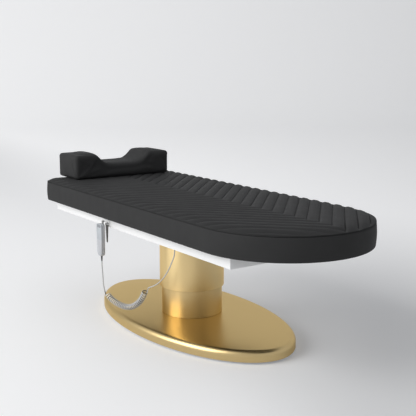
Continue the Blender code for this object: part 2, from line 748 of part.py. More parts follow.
def build_actuator(base, lift, screw_axis):
    build_pin("lower_pin", LOWER_PIN_Z, GEARBOX_WIDTH, base)

    half = GEARBOX_WIDTH / 2
    arm_z = GEARBOX_TOP - GEARBOX_ARM_HEIGHT
    outline = [
        (half, GEARBOX_Z),
        (half, GEARBOX_TOP),
        (-half - GEARBOX_ARM_REACH, GEARBOX_TOP),
        (-half - GEARBOX_ARM_REACH, arm_z),
        (-half, arm_z),
        (-half, GEARBOX_Z),
    ]
    mesh_centre = (COLUMN_X, 0, 0)
    gearbox = plate_part(
        "gearbox", [outline], GEARBOX_THICKNESS, STAND_ON_YZ, mesh_centre, DARK_PLASTIC, base
    )
    round_edges(gearbox, GEARBOX_BEVEL, 1)
    cut(gearbox, pin_bore(COLUMN_X, LOWER_PIN_Z, GEARBOX_WIDTH), "gearbox_pin_bore")
    seat_z = GEARBOX_TOP - SCREW_SEAT_DEPTH
    bore = bmesh.new()
    bore_radius = SCREW_COLLAR_RADIUS + GAP
    top = (COLUMN_X, 0, GEARBOX_TOP + OVERRUN)
    add_rod(bore, (COLUMN_X, 0, seat_z - GAP), top, bore_radius, steps=ROUND_STEPS)
    cut(gearbox, bore, "gearbox_screw_bore")

    motor_y = -half - GEARBOX_ARM_REACH / 2
    motor_z = GEARBOX_TOP + GAP
    shoulder = MOTOR_LENGTH - MOTOR_CAP_HEIGHT
    profile = [
        (0.0, MOTOR_LENGTH),
        (MOTOR_CAP_RADIUS, MOTOR_LENGTH),
        (MOTOR_RADIUS, shoulder),
        (MOTOR_RADIUS, 0.0),
        (0.0, 0.0),
    ]
    turned_part("actuator_motor", profile, (COLUMN_X, motor_y, motor_z), STEEL, base)

    tube_inner = ACTUATOR_TUBE_RADIUS - ACTUATOR_TUBE_WALL
    profile = ring_profile(ACTUATOR_TUBE_RADIUS, tube_inner, 0.0, ACTUATOR_TUBE_LENGTH)
    turned_part("actuator_tube", profile, (COLUMN_X, 0, motor_z), ALUMINIUM, base)
    profile = ring_profile(tube_inner - GAP, PUSH_TUBE_RADIUS + GAP, 0.0, BUSH_HEIGHT)
    bush_z = TUBE_TOP - BUSH_HEIGHT
    turned_part("actuator_bush", profile, (COLUMN_X, 0, bush_z), NYLON, base)

    screw_top = END_LUG_Z - LIFT_DOWN - OVERRUN
    profile = [
        (0.0, screw_top - seat_z),
        (SCREW_RADIUS, screw_top - seat_z),
        (SCREW_RADIUS, SCREW_SEAT_DEPTH),
        (SCREW_COLLAR_RADIUS, SCREW_SEAT_DEPTH),
        (SCREW_COLLAR_RADIUS, 0.0),
        (0.0, 0.0),
    ]
    turned_part("lead_screw", profile, (COLUMN_X, 0, seat_z), STEEL, screw_axis)

    nut_z = NUT_TOP - NUT_HEIGHT
    profile = ring_profile(tube_inner - GAP, SCREW_RADIUS + GAP, 0.0, NUT_HEIGHT)
    turned_part("drive_nut", profile, (COLUMN_X, 0, nut_z), NYLON, lift)
    tube_z = NUT_TOP + GAP
    length = END_LUG_Z - tube_z
    profile = ring_profile(PUSH_TUBE_RADIUS, PUSH_TUBE_RADIUS - PUSH_TUBE_WALL, 0.0, length)
    tube = turned_part("push_tube", profile, (COLUMN_X, 0, tube_z), ALUMINIUM, lift)
    lug = bmesh.new()
    half_x, half_y = PUSH_TUBE_RADIUS + WELD_DEPTH, END_LUG_THICKNESS / 2
    low = (COLUMN_X - half_x, -half_y, END_LUG_Z - WELD_DEPTH)
    add_box(lug, low, (COLUMN_X + half_x, half_y, END_LUG_Z + END_LUG_HEIGHT))
    cut(tube, lug, "push_tube_lug", "UNION")
    cut(tube, pin_bore(COLUMN_X, UPPER_PIN_Z, END_LUG_THICKNESS), "push_tube_bore")
    build_pin("upper_pin", UPPER_PIN_Z, END_LUG_THICKNESS, lift)
    reach = CROSS_OFFSET - CROSS_WIDTH / 2 - GAP
    half_y = BRIDGE_WIDTH / 2
    low = (COLUMN_X - reach, -half_y, BRIDGE_Z)
    bridge = box_part("lift_bridge", low, (COLUMN_X + reach, half_y, BRIDGE_TOP), STEEL, lift)
    cut(bridge, clevis(END_LUG_THICKNESS, UPPER_PIN_Z, BRIDGE_Z), "upper_clevis", "UNION")
    cut(bridge, pin_bore(COLUMN_X, UPPER_PIN_Z, END_LUG_THICKNESS), "upper_clevis_bore")


# The frame

def channel_outline():
    """A C of folded sheet, as depth and height: the web and two flanges that run inwards."""
    wall, depth, height = RAIL_WALL, RAIL_DEPTH, RAIL_HEIGHT
    return [
        (0.0, 0.0),
        (depth, 0.0),
        (depth, wall),
        (wall, wall),
        (wall, height - wall),
        (depth, height - wall),
        (depth, height),
        (0.0, height),
    ]


def build_frame(lift):
    """A mitred ring of channel with four welded cross tubes whose ends stay open.

    The ring is the channel's section spun in four steps about the middle, which makes a
    square, and its head and foot ends are then slid out to their places.
    """
    bm = bmesh.new()
    line = []
    for depth, height in channel_outline():
        reach = FRAME_Y - depth
        line.append(bm.verts.new((reach, reach, FRAME_UNDERSIDE + height)))
    edges = [bm.edges.new((a, b)) for a, b in zip(line, line[1:] + line[:1])]
    bmesh.ops.spin(
        bm, geom=line + edges, axis=(0, 0, 1), angle=math.tau, steps=4, use_merge=True
    )
    bmesh.ops.remove_doubles(bm, verts=bm.verts, dist=GAP / 10)
    bmesh.ops.recalc_face_normals(bm, faces=bm.faces)
    for vertex in bm.verts:
        end = FRAME_FOOT_X - FRAME_Y if vertex.co.x > 0 else FRAME_HEAD_X + FRAME_Y
        vertex.co.x += end
    middle = (FRAME_HEAD_X + FRAME_FOOT_X) / 2
    frame = from_bmesh("bed_frame", bm, WHITE_PAINT, lift, (middle, 0, FRAME_UNDERSIDE), False)
    cut(frame, cross_members(), "cross_members", "UNION")
    cut(frame, carrier_bolt_holes(), "cross_member_bolt_holes")
    cut(frame, hanger_screw_bores(), "rail_screw_bores")


def cross_members():
    """Four tubes across, set into the channels' flanges and short of their webs."""
    reach = FRAME_Y - RAIL_WALL - CROSS_END_CLEARANCE
    half, inner = CROSS_WIDTH / 2, CROSS_WIDTH / 2 - CROSS_WALL
    edge = [(-half, 0.0), (half, 0.0), (half, CROSS_HEIGHT), (-half, CROSS_HEIGHT)]
    top = CROSS_HEIGHT - CROSS_WALL
    hollow = [(-inner, CROSS_WALL), (inner, CROSS_WALL), (inner, top), (-inner, top)]
    members = bmesh.new()
    for offset in (-OUTER_CROSS_HEAD, -CROSS_OFFSET, CROSS_OFFSET, OUTER_CROSS_FOOT):
        centre = (COLUMN_X + offset, 0, CROSS_Z)
        tube = outline_mesh("cross", [edge, hollow], 2 * reach, STAND_ON_XZ, centre)
        members.from_mesh(tube)
        bpy.data.meshes.remove(tube)
    return members


def carrier_bolt_places():
    across = CARRIER_WIDTH / 2 - CARRIER_BOLT_INSET
    return [(COLUMN_X + sx * CROSS_OFFSET, sy * across) for sx in (-1, 1) for sy in (-1, 1)]


def carrier_bolt_holes():
    holes = bmesh.new()
    for x, y in carrier_bolt_places():
        low, high = (x, y, CARRIER_Z - OVERRUN), (x, y, CROSS_Z + CROSS_WALL + OVERRUN)
        add_rod(holes, low, high, BOLT_RADIUS + GAP, steps=SMALL_ROUND_STEPS)
    return holes


def build_carrier(lift):
    half = Vector((CARRIER_LENGTH / 2, CARRIER_WIDTH / 2, 0))
    low = Vector((COLUMN_X, 0, CARRIER_Z)) - half
    high = Vector((COLUMN_X, 0, CARRIER_TOP)) + half
    plate = box_part("carrier_plate", low, high, STEEL, lift)
    holes = carrier_bolt_holes()
    start = (COLUMN_X, 0, CARRIER_Z - OVERRUN)
    end = (COLUMN_X, 0, CARRIER_TOP + OVERRUN)
    add_rod(holes, start, end, ACTUATOR_TUBE_RADIUS + TUBE_PASS_MARGIN)
    cut(plate, holes, "carrier_holes")
    reach = CARRIER_THICKNESS + GAP + CROSS_WALL + CARRIER_BOLT_REACH
    for index, (x, y) in enumerate(carrier_bolt_places(), 1):
        seat = Vector((x, y, CARRIER_Z - GAP))
        build_bolt(f"carrier_bolt_{index}", seat, Vector((0, 0, 1)), reach, lift)


# The pad

def pad_outline(inset):
    """The pad's plan: square head end with small corners, half round foot end."""
    radius = HEAD_CORNER_RADIUS - inset
    corner_x = PAD_HEAD_X + HEAD_CORNER_RADIUS
    corner_y = HALF_WIDTH - HEAD_CORNER_RADIUS
    foot = arc((FOOT_ARC_X, 0.0), HALF_WIDTH - inset, -90, 90, FOOT_END_STEPS)
    far = arc((corner_x, corner_y), radius, 90, 180)
    near = arc((corner_x, -corner_y), radius, 180, 270)
    return foot + far + near


def build_board(lift):
    outline = [(x - BED_X, y) for x, y in pad_outline(BOARD_INSET)]
    centre = (BED_X, 0, BOARD_Z + BOARD_THICKNESS / 2)
    plate_part("deck_board", [outline], BOARD_THICKNESS, Matrix(), centre, BOARD_WOOD, lift)


def pad_ends(y):
    """Where the pad's plan begins and ends along X, at distances y from the middle line."""
    corner = np.clip(np.abs(y) - (HALF_WIDTH - HEAD_CORNER_RADIUS), 0.0, HEAD_CORNER_RADIUS)
    drop = HEAD_CORNER_RADIUS - np.sqrt(HEAD_CORNER_RADIUS**2 - corner**2)
    return PAD_HEAD_X + drop, FOOT_ARC_X + np.sqrt(np.maximum(HALF_WIDTH**2 - y**2, 0.0))


def pad_normal(x, y):
    """The outward direction of the pad's edge in plan, at a point on it."""
    corner_x = PAD_HEAD_X + HEAD_CORNER_RADIUS
    corner_y = HALF_WIDTH - HEAD_CORNER_RADIUS
    if x >= FOOT_ARC_X:
        direction = Vector((x - FOOT_ARC_X, y, 0))
    elif x < corner_x and abs(y) > corner_y:
        direction = Vector((x - corner_x, y - math.copysign(corner_y, y), 0))
    elif abs(y) > corner_y:
        direction = Vector((0, y, 0))
    else:
        direction = Vector((-1, 0, 0))
    return direction.normalized()


def pad_height(x, y, groove):
    """Top of the pad: it rises from the seam over the edge round and dips in the sewn grooves."""
    head, _ = pad_ends(y)
    from_foot = HALF_WIDTH - np.hypot(np.maximum(x - FOOT_ARC_X, 0.0), y)
    inwards = np.minimum(x - head, from_foot)
    share = np.clip(inwards / CROWN_EDGE, 0.0, 1.0)
    crown = 1.0 - (1.0 - share) ** 2
    return SEAM_Z + CROWN_HEIGHT * crown - RIB_DEPTH * groove * np.sqrt(share)


def build_mattress(lift):
    """A grid whose rows follow the V of the sewn channels, by turns in a groove and on a rib.

    The first and last rows run along the ends instead, where the top rounds over. Below the
    seam the cover runs down the side, folds under the board's edge and opens for the board.
    """
    turns = np.linspace(-90.0, 90.0, 2 * HALF_WIDTH_COLUMNS + 1)
    y = HALF_WIDTH * np.sin(np.radians(turns))
    head, foot = pad_ends(y)
    slope = RIB_SLOPE_SHARE
    reach = FOOT_ARC_X + HALF_WIDTH * math.hypot(1.0, slope) - PAD_HEAD_X
    rows = np.arange(math.ceil(2 * reach / RIB_PITCH))
    apex = PAD_HEAD_X + FIRST_GROOVE + rows * RIB_PITCH / 2
    steps = np.arange(EDGE_ROWS + 1) / EDGE_ROWS
    edge = CROWN_EDGE * (1.0 - np.cos(steps * math.pi / 2))
    first, last = head + CROWN_EDGE, np.maximum(foot - CROWN_EDGE, head + CROWN_EDGE)
    inner = np.clip(apex[:, None] - slope * np.abs(y)[None, :], first, last)
    x = np.vstack([head + edge[:, None], inner, foot - edge[::-1, None]])
    across = np.broadcast_to(y[None, :], x.shape)
    plain = np.zeros(len(edge))
    groove = np.concatenate([plain, (rows % 2 == 0).astype(float), plain])[:, None]
    from_ends = np.minimum(x - first, last - x) / (RIB_PITCH / 2)
    z = pad_height(x, across, groove * np.clip(from_ends, 0.0, 1.0))

    bm = bmesh.new()
    count = len(y)
    points = [bm.verts.new(p) for p in zip(x.ravel(), across.ravel(), z.ravel())]
    for row in range(len(x) - 1):
        for column in range(count - 1):
            start = row * count + column
            loop = (start, start + count, start + count + 1, start + 1)
            bm.faces.new([points[i] for i in loop])
    bmesh.ops.remove_doubles(bm, verts=bm.verts, dist=MERGE_STEP)
    bmesh.ops.dissolve_degenerate(bm, edges=bm.edges, dist=MERGE_STEP)
    loose = [v for v in bm.verts if not v.link_faces]
    bmesh.ops.delete(bm, geom=loose, context="VERTS")

    rim = [e for e in bm.edges if len(e.link_faces) == 1]
    for vertex in {v for e in rim for v in e.verts}:
        vertex.co -= pad_normal(vertex.co.x, vertex.co.y) * SIDE_BAND_BULGE
    skirt = [
        ((BOARD_Z + SEAM_Z) / 2, SIDE_BAND_BULGE),
        (BOARD_Z + SIDE_FOOT_RISE, -SIDE_BAND_BULGE),
        (BOARD_Z, -SIDE_FOOT_TUCK),
        (BOARD_Z, -COVER_LAP),
        (MATTRESS_Z, 0.0),
    ]
    for height, outwards in skirt:
        grown = bmesh.ops.extrude_edge_only(bm, edges=rim)["geom"]
        rim = [e for e in grown if isinstance(e, bmesh.types.BMEdge)]
        for vertex in [v for v in grown if isinstance(v, bmesh.types.BMVert)]:
            vertex.co += pad_normal(vertex.co.x, vertex.co.y) * outwards
            vertex.co.z = height
    bmesh.ops.contextual_create(bm, geom=rim)
    bmesh.ops.recalc_face_normals(bm, faces=bm.faces)
    from_bmesh("mattress", bm, BLACK_LEATHER, lift, (BED_X, 0, MATTRESS_Z))


def neck_dip(y):
    """How far the pillow's top lies below its lobes: steep beside each lobe, then ever flatter."""
    t = (NECK_FLAT_HALF_WIDTH + NECK_FLANK_WIDTH - abs(y)) / NECK_FLANK_WIDTH
    t = min(max(t, 0.0), 1.0)
    return NECK_HOLLOW_DEPTH * (1.0 - (1.0 - t) ** 4) ** 1.2


def build_pillow(parent):
    """A cage of rounded sections across the bed, lofted from side to side and subdivided."""
    bottom = CREST_Z + GAP
    x = PAD_HEAD_X - PILLOW_OVERHANG + PILLOW_DEPTH / 2
    half_depth, half_width = PILLOW_DEPTH / 2, PILLOW_WIDTH / 2
    inner = half_width - PILLOW_EDGE_ROUND
    spots = np.linspace(-inner, inner, PILLOW_STATIONS)
    stations = [(-half_width, PILLOW_EDGE_ROUND)]
    stations += [(y, 0.0) for y in spots]
    stations += [(half_width, PILLOW_EDGE_ROUND)]
    bm = bmesh.new()
    rings = []
    for y, shrink in stations:
        top = bottom + PILLOW_HEIGHT - neck_dip(y) - shrink
        low = bottom + shrink
        deep = half_depth - shrink
        ease = PILLOW_EDGE_ROUND
        section = [
            (-deep, low + ease),
            (-deep + ease, low),
            (0.0, low),
            (deep - ease, low),
            (deep, low + ease),
            (deep, (low + top) / 2),
            (deep, top - ease),
            (deep - ease, top),
            (0.0, top),
            (-deep + ease, top),
            (-deep, top - ease),
            (-deep, (low + top) / 2),
        ]
        rings.append([bm.verts.new((x + dx, y, z)) for dx, z in section])
    for first, second in zip(rings, rings[1:]):
        for i in range(len(first)):
            j = (i + 1) % len(first)
            bm.faces.new((first[i], first[j], second[j], second[i]))
    bm.faces.new(rings[0])
    bm.faces.new(list(reversed(rings[-1])))
    bmesh.ops.recalc_face_normals(bm, faces=bm.faces)
    pillow = from_bmesh("pillow", bm, BLACK_LEATHER, parent, (x, 0, bottom))
    soft = pillow.modifiers.new("soft form", "SUBSURF")
    soft.levels = 1
    soft.render_levels = 1


# The control box

def build_control_box(lift):
    half_x = BOX_LENGTH / 2
    near = -FRAME_Y + RAIL_DEPTH + BOX_RAIL_CLEARANCE
    low = (SOCKET_X - half_x, near, BOX_Z)
    high = (SOCKET_X + half_x, near + BOX_WIDTH, BOX_TOP)
    box_part("control_box", low, high, DARK_PLASTIC, lift, bevel=BOX_EDGE)
    socket = (SOCKET_X, SOCKET_Y, SOCKET_Z)
    profile = ring_profile(SOCKET_RADIUS, SOCKET_BORE, 0.0, SOCKET_HEIGHT)
    turned_part("handset_socket", profile, socket, DARK_PLASTIC, lift)

    taper_top = PLUG_SHOULDER - PLUG_BODY_LENGTH
    profile = [
        (0.0, PLUG_TOP),
        (SOCKET_BORE - GAP, PLUG_TOP),
        (SOCKET_BORE - GAP, PLUG_SHOULDER),
        (PLUG_RADIUS, PLUG_SHOULDER),
        (PLUG_RADIUS, taper_top),
        (RELIEF_END_RADIUS, taper_top - PLUG_TAPER_LENGTH),
        (0.0, taper_top - PLUG_TAPER_LENGTH),
    ]
    profile = [(radius, height - PLUG_SHOULDER) for radius, height in profile]
    place = (SOCKET_X, SOCKET_Y, PLUG_SHOULDER)
    turned_part("handset_plug", profile, place, DARK_PLASTIC, lift)

    face = SOCKET_X - half_x - GAP
    middle = Vector((face - INLET_DEPTH / 2, near + BOX_WIDTH / 2, (BOX_Z + BOX_TOP) / 2))
    half = Vector((INLET_DEPTH, INLET_WIDTH, INLET_HEIGHT)) / 2
    inlet = box_part("mains_inlet", middle - half, middle + half, DARK_PLASTIC, lift)
    recess = bmesh.new()
    floor_x = face - INLET_FLOOR
    inner = Vector((0, INLET_WIDTH / 2 - INLET_WALL, INLET_HEIGHT / 2 - INLET_WALL))
    low = Vector((face - INLET_DEPTH - OVERRUN, middle.y, middle.z)) - inner
    add_box(recess, low, Vector((floor_x, middle.y, middle.z)) + inner)
    cut(inlet, recess, "inlet_recess")
    pins = bmesh.new()
    half_pin = Vector((0, INLET_PIN_WIDTH / 2, INLET_PIN_HEIGHT / 2))
    for index in (-1, 0, 1):
        root = Vector((floor_x, middle.y + index * INLET_PIN_SPACING, middle.z))
        reach = Vector((INLET_PIN_LENGTH, 0, 0))
        add_box(pins, root - reach - half_pin, root + reach / 4 + half_pin)
    cut(inlet, pins, "inlet_pins", "UNION")


# The handset, its hanger and its cord

def handset_outline(inset):
    """Seen from the front: straight sides that taper a little to a rounder foot."""
    half_top = HANDSET_WIDTH / 2 - inset
    half_foot = HANDSET_FOOT_WIDTH / 2 - inset
    top, foot = HANDSET_TOP - inset, HANDSET_FOOT + inset
    rt, rf = HANDSET_TOP_RADIUS - inset, HANDSET_FOOT_RADIUS - inset
    return (
        arc((half_top - rt, top - rt), rt, 0, 90)
        + arc((rt - half_top, top - rt), rt, 90, 180)
        + arc((rf - half_foot, foot + rf), rf, 180, 270)
        + arc((half_foot - rf, foot + rf), rf, 270, 360)
    )


def button_places():
    z = HANDSET_TOP - BUTTON_BELOW_TOP
    half = BUTTON_SPACING / 2
    return [("button_down", HANDSET_X - half, z), ("button_up", HANDSET_X + half, z)]


def build_handset(handset, button_axes):
    middle = HANDSET_BACK_Y - HANDSET_BODY_DEPTH / 2
    outline = handset_outline(0.0)
    body = plate_part(
        "handset_body",
        [outline],
        HANDSET_BODY_DEPTH,
        STAND_ON_XZ,
        (HANDSET_X, middle, 0),
        GREY_PLASTIC,
        handset,
    )
    round_edges(body, SHELL_BEVEL)
    middle = (HANDSET_BODY_FRONT - GAP + HANDSET_FRONT) / 2
    fascia = plate_part(
        "handset_fascia",
        [handset_outline(FASCIA_INSET)],
        FASCIA_DEPTH,
        STAND_ON_XZ,
        (HANDSET_X, middle, 0),
        GREY_PLASTIC,
        handset,
    )
    round_edges(fascia, SHELL_BEVEL)
    bores = bmesh.new()
    back, front = HANDSET_BODY_FRONT + OVERRUN, HANDSET_FRONT - OVERRUN
    for _, x, z in button_places():
        radius = BUTTON_RADIUS + BUTTON_CLEARANCE
        add_rod(bores, (x, front, z), (x, back, z), radius, steps=ROUND_STEPS)
    led_z = HANDSET_TOP - LED_BELOW_TOP
    radius = LED_RADIUS + GAP
    led_back = HANDSET_FRONT + LED_LENGTH
    add_rod(bores, (HANDSET_X, front, led_z), (HANDSET_X, led_back, led_z), radius, steps=12)
    cut(fascia, bores, "fascia_bores")
    led = bmesh.new()
    led_start = (HANDSET_X, HANDSET_FRONT, led_z)
    led_end = (HANDSET_X, led_back - GAP, led_z)
    add_rod(led, led_start, led_end, LED_RADIUS, steps=12)
    from_bmesh("handset_indicator", led, INDICATOR, handset, led_start)

    for name, x, z in button_places():
        bm = bmesh.new()
        front = HANDSET_FRONT - BUTTON_PROUD
        add_rod(bm, (x, front, z), (x, front + BUTTON_LENGTH, z), BUTTON_RADIUS)
        from_bmesh(name, bm, DARK_PLASTIC, button_axes[name], (x, front, z))

    leg, back = CLIP_WALL, CLIP_BACK_Y
    bridge = LIP_TOP + GAP
    inner = LIP_INNER_Y + GAP
    outline = [
        (back, bridge + leg - CLIP_PAD_HEIGHT),
        (back + leg, bridge + leg - CLIP_PAD_HEIGHT),
        (back + leg, bridge),
        (inner, bridge),
        (inner, bridge - CLIP_LEG),
        (inner + leg, bridge - CLIP_LEG),
        (inner + leg, bridge + leg),
        (back, bridge + leg),
    ]
    place = (HANDSET_X, 0, 0)
    plate_part("handset_clip", [outline], CLIP_WIDTH, STAND_ON_YZ, place, DARK_PLASTIC, handset)

    relief = [
        (0.0, 0.0),
        (RELIEF_TOP_RADIUS, 0.0),
        (RELIEF_END_RADIUS, -RELIEF_LENGTH),
        (0.0, -RELIEF_LENGTH),
    ]
    place = (HANDSET_X, RAIL_FACE + CORD_ROUTE[0][1], HANDSET_FOOT - GAP)
    turned_part(
        "handset_strain_relief", relief, place, DARK_PLASTIC, handset, SMALL_ROUND_STEPS
    )


def hanger_screw_places():
    z = FRAME_UNDERSIDE + HANGER_PLATE_ABOVE_UNDERSIDE + HANGER_PLATE_HEIGHT
    half = HANGER_SCREW_SPACING / 2
    return [(HANDSET_X + sign * half, z - HANGER_SCREW_BELOW_TOP) for sign in (-1, 1)]


def hanger_screw_bores():
    bores = bmesh.new()
    for x, z in hanger_screw_places():
        front, back = HANGER_FACE - OVERRUN, RAIL_FACE + RAIL_WALL + OVERRUN
        radius = SCREW_SHANK_RADIUS + GAP
        add_rod(bores, (x, front, z), (x, back, z), radius, steps=SMALL_ROUND_STEPS)
    return bores


def build_hanger(lift):
    back, wall = RAIL_FACE - GAP, HANGER_WALL
    bottom = FRAME_UNDERSIDE + HANGER_PLATE_ABOVE_UNDERSIDE
    arm = ARM_UNDERSIDE
    outline = [
        (back, bottom),
        (back, bottom + HANGER_PLATE_HEIGHT),
        (HANGER_FACE, bottom + HANGER_PLATE_HEIGHT),
        (HANGER_FACE, arm + wall),
        (LIP_INNER_Y, arm + wall),
        (LIP_INNER_Y, LIP_TOP),
        (LIP_OUTER_Y, LIP_TOP),
        (LIP_OUTER_Y, arm),
        (HANGER_FACE, arm),
        (HANGER_FACE, bottom),
    ]
    place = (HANDSET_X, 0, 0)
    hanger = plate_part(
        "handset_hanger", [outline], HANGER_WIDTH, STAND_ON_YZ, place, WHITE_PAINT, lift
    )
    cut(hanger, hanger_screw_bores(), "hanger_screw_bores")

    rings = [
        (0.0, -SCREW_HEAD_HEIGHT),
        (SCREW_HEAD_RADIUS, -SCREW_HEAD_HEIGHT),
        (SCREW_HEAD_RADIUS, 0.0),
        (SCREW_SHANK_RADIUS, 0.0),
        (SCREW_SHANK_RADIUS, SCREW_SHANK_LENGTH),
        (0.0, SCREW_SHANK_LENGTH),
    ]
    for index, (x, z) in enumerate(hanger_screw_places(), 1):
        seat = Vector((x, HANGER_FACE - GAP, z))
        screw = bmesh.new()
        add_spun(screw, rings, seat, Vector((0, 1, 0)), 12)
        from_bmesh(f"hanger_screw_{index}", screw, STEEL, lift, seat)

    half, tip = TONGUE_TOP_WIDTH / 2, TONGUE_TIP_WIDTH / 2
    top = arm - GAP
    foot = top - TONGUE_LENGTH + tip
    outline = [(-half, top)] + arc((0.0, foot), tip, 180, 360) + [(half, top)]
    centre = (HANDSET_X, HANGER_FACE - GAP - TONGUE_THICKNESS / 2, 0)
    plate_part(
        "hanger_tongue", [outline], TONGUE_THICKNESS, STAND_ON_XZ, centre, DARK_PLASTIC, lift
    )


def smooth_route(points, samples=ROUTE_SAMPLES):
    """A centripetal Catmull-Rom curve through the points, with its arc length at each sample."""
    p = np.array(points, float)
    p = np.vstack([2 * p[0] - p[1], p, 2 * p[-1] - p[-2]])
    pieces = []
    for a, b, c, d in zip(p, p[1:], p[2:], p[3:]):
        knots = [0.0]
        for u, v in ((a, b), (b, c), (c, d)):
            knots.append(knots[-1] + math.sqrt(np.linalg.norm(v - u)))
        t0, t1, t2, t3 = knots
        t = np.linspace(t1, t2, samples, endpoint=False)[:, None]
        ab = a + (b - a) * (t - t0) / (t1 - t0)
        bc = b + (c - b) * (t - t1) / (t2 - t1)
        cd = c + (d - c) * (t - t2) / (t3 - t2)
        abc = ab + (bc - ab) * (t - t0) / (t2 - t0)
        bcd = bc + (cd - bc) * (t - t1) / (t3 - t1)
        pieces.append(abc + (bcd - abc) * (t - t1) / (t2 - t1))
    curve = np.vstack(pieces + [p[-2][None, :]])
    steps = np.linalg.norm(np.diff(curve, axis=0), axis=1)
    return curve, np.concatenate([[0.0], np.cumsum(steps)])


def along_route(curve, length, at):
    return np.stack([np.interp(at, length, curve[:, axis]) for axis in range(3)], axis=1)


def ease(share):
    """An S from 0 to 1."""
    share = np.clip(share, 0.0, 1.0)
    return share * share * (3.0 - 2.0 * share)


def steps_along(low, high, count):
    """Even steps with a short one at each end, which sets the end faces square to the cord."""
    even = np.linspace(low + END_STEP, high - END_STEP, count + 1)
    return np.concatenate([[low], even, [high]])


def cord_points(curve, length, start, end, at):
    """The cord at distances along its route: beside it in the curl, and on it away from that.

    In the curl it runs round the route at a full radius, and its turning starts and stops in
    an S over one turn. It leaves the route before the curl, and joins it after, in an S too.
    """
    table = np.linspace(0.0, 1.0, 100 * CURL_TURNS + 1)
    speed = ease(np.minimum(table, 1.0 - table) * CURL_TURNS)
    turned = np.concatenate([[0.0], np.cumsum((speed[1:] + speed[:-1]) / 2)])
    angle = math.radians(CURL_ENTRY_ANGLE) + math.tau * CURL_TURNS * turned / turned[-1]
    angle = np.interp((at - start) / (end - start), table, angle)
    beyond = np.maximum(np.maximum(start - at, at - end), 0.0)
    radius = (CURL_OUTER_DIAMETER - CORD_DIAMETER) / 2 * ease(1.0 - beyond / CURL_RUN_IN)
    axis = along_route(curve, length, at)
    step = np.gradient(curve, length + np.arange(len(length)) * 1e-9, axis=0)
    tangent = along_route(step, length, at)
    tangent /= np.linalg.norm(tangent, axis=1)[:, None]
    chord = np.cross(curve[-1] - curve[0], (0.0, 0.0, 1.0))
    level = chord / np.linalg.norm(chord)
    upwards = np.cross(level, tangent)
    around = np.cos(angle)[:, None] * level[None, :] + np.sin(angle)[:, None] * upwards
    return axis + radius[:, None] * around


def least_self_gap(points, apart):
    """The smallest clear distance between turns of a tube, measured between its centre points."""
    distance = np.linalg.norm(points[:, None, :] - points[None, :, :], axis=2)
    index = np.arange(len(points))
    near = np.abs(index[:, None] - index[None, :]) < apart
    distance[near] = np.inf
    return float(distance.min()) - CORD_DIAMETER


def cord_part(name, points, resolution, parent):
    curve = bpy.data.curves.new(name, "CURVE")
    curve.dimensions = "3D"
    curve.bevel_depth = CORD_DIAMETER / 2
    curve.bevel_resolution = resolution
    curve.use_fill_caps = True
    spline = curve.splines.new("POLY")
    spline.points.add(len(points) - 1)
    spline.points.foreach_set("co", np.column_stack([points, np.ones(len(points))]).ravel())
    curve.materials.append(CORD_GREY)
    item = bpy.data.objects.new(name, curve)
    MODEL.objects.link(item)
    item.parent = parent
    item.matrix_parent_inverse = Matrix.Translation(parent.location).inverted()


def build_cord(lift):
    curve, length = smooth_route(
        [(HANDSET_X + x, RAIL_FACE + y, FRAME_UNDERSIDE + z) for x, y, z in CORD_ROUTE]
    )
    start = length[CURL_START_INDEX * ROUTE_SAMPLES]
    end = length[CURL_END_INDEX * ROUTE_SAMPLES]
    for name, low, high in (
        ("cable_upper_lead", 0.0, start - GAP),
        ("cable_lower_lead", end + GAP, length[-1]),
    ):
        at = steps_along(low, high, round((high - low) / LEAD_STEP))
        cord_part(name, cord_points(curve, length, start, end, at), 2, lift)
    at = steps_along(start, end, CURL_TURNS * POINTS_PER_CURL)
    curl = cord_points(curve, length, start, end, at)
    cord_part("cable_curl", curl, 1, lift)
    gap = least_self_gap(curl, POINTS_PER_CURL // 2 + 1)
    print(f"curly cord: least gap between its turns {gap * 1000:.2f} mm")


def build_bed():
    base = axis_empty("base_frame", (COLUMN_X, 0, 0))
    lift = axis_empty("lift_axis", (COLUMN_X, 0, CARRIER_Z))
    screw = axis_empty("screw_axis", (COLUMN_X, 0, GEARBOX_TOP))
    pillow = axis_empty("pillow_axis", (PAD_HEAD_X, 0, CREST_Z), lift)
    handset = axis_empty("handset_axis", (HANDSET_X, HANDSET_BACK_Y, HANDSET_TOP), lift)
    buttons = {
        name: axis_empty(f"{name}_axis", (x, HANDSET_FRONT, z), handset)
        for name, x, z in button_places()
    }
    build_base(base)
    build_column_foot(base)
    build_sleeves(base, lift)
    build_guides(base, lift)
    build_actuator(base, lift, screw)
    build_frame(lift)
    build_carrier(lift)
    build_board(lift)
    build_mattress(lift)
    build_pillow(pillow)
    build_control_box(lift)
    build_handset(handset, buttons)
    build_hanger(lift)
    build_cord(lift)


clear_scene()
MODEL = new_collection("treatment_bed")
CUTTERS = new_collection("cutters")
GOLD = new_material("satin gold metal", "C8A868", 0.28, 1.0)
WHITE_PAINT = new_material("white powder coat", "F0F0EE", 0.4)
BLACK_LEATHER = new_material("black synthetic leather", "2B2B2B", 0.5)
BOARD_WOOD = new_material("black lined plywood", "1C1B1A", 0.8)
STEEL = new_material("zinc plated steel", "A8ABAF", 0.35, 1.0)
ALUMINIUM = new_material("drawn aluminium", "BFC2C5", 0.3, 1.0)
NYLON = new_material("white nylon", "E3E1D8", 0.5)
DARK_PLASTIC = new_material("dark grey plastic", "4A4A4C", 0.45)
GREY_PLASTIC = new_material("light grey plastic", "C4C7CA", 0.45)
INDICATOR = new_material("green lens", "63B06E", 0.2)
CORD_GREY = new_material("light grey cord", "C9C9C8", 0.45)
RUBBER = new_material("black rubber", "232323", 0.8)
build_bed()
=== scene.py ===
import json
import math

import bmesh
import bpy
import numpy as np
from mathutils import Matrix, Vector
from mathutils.kdtree import KDTree

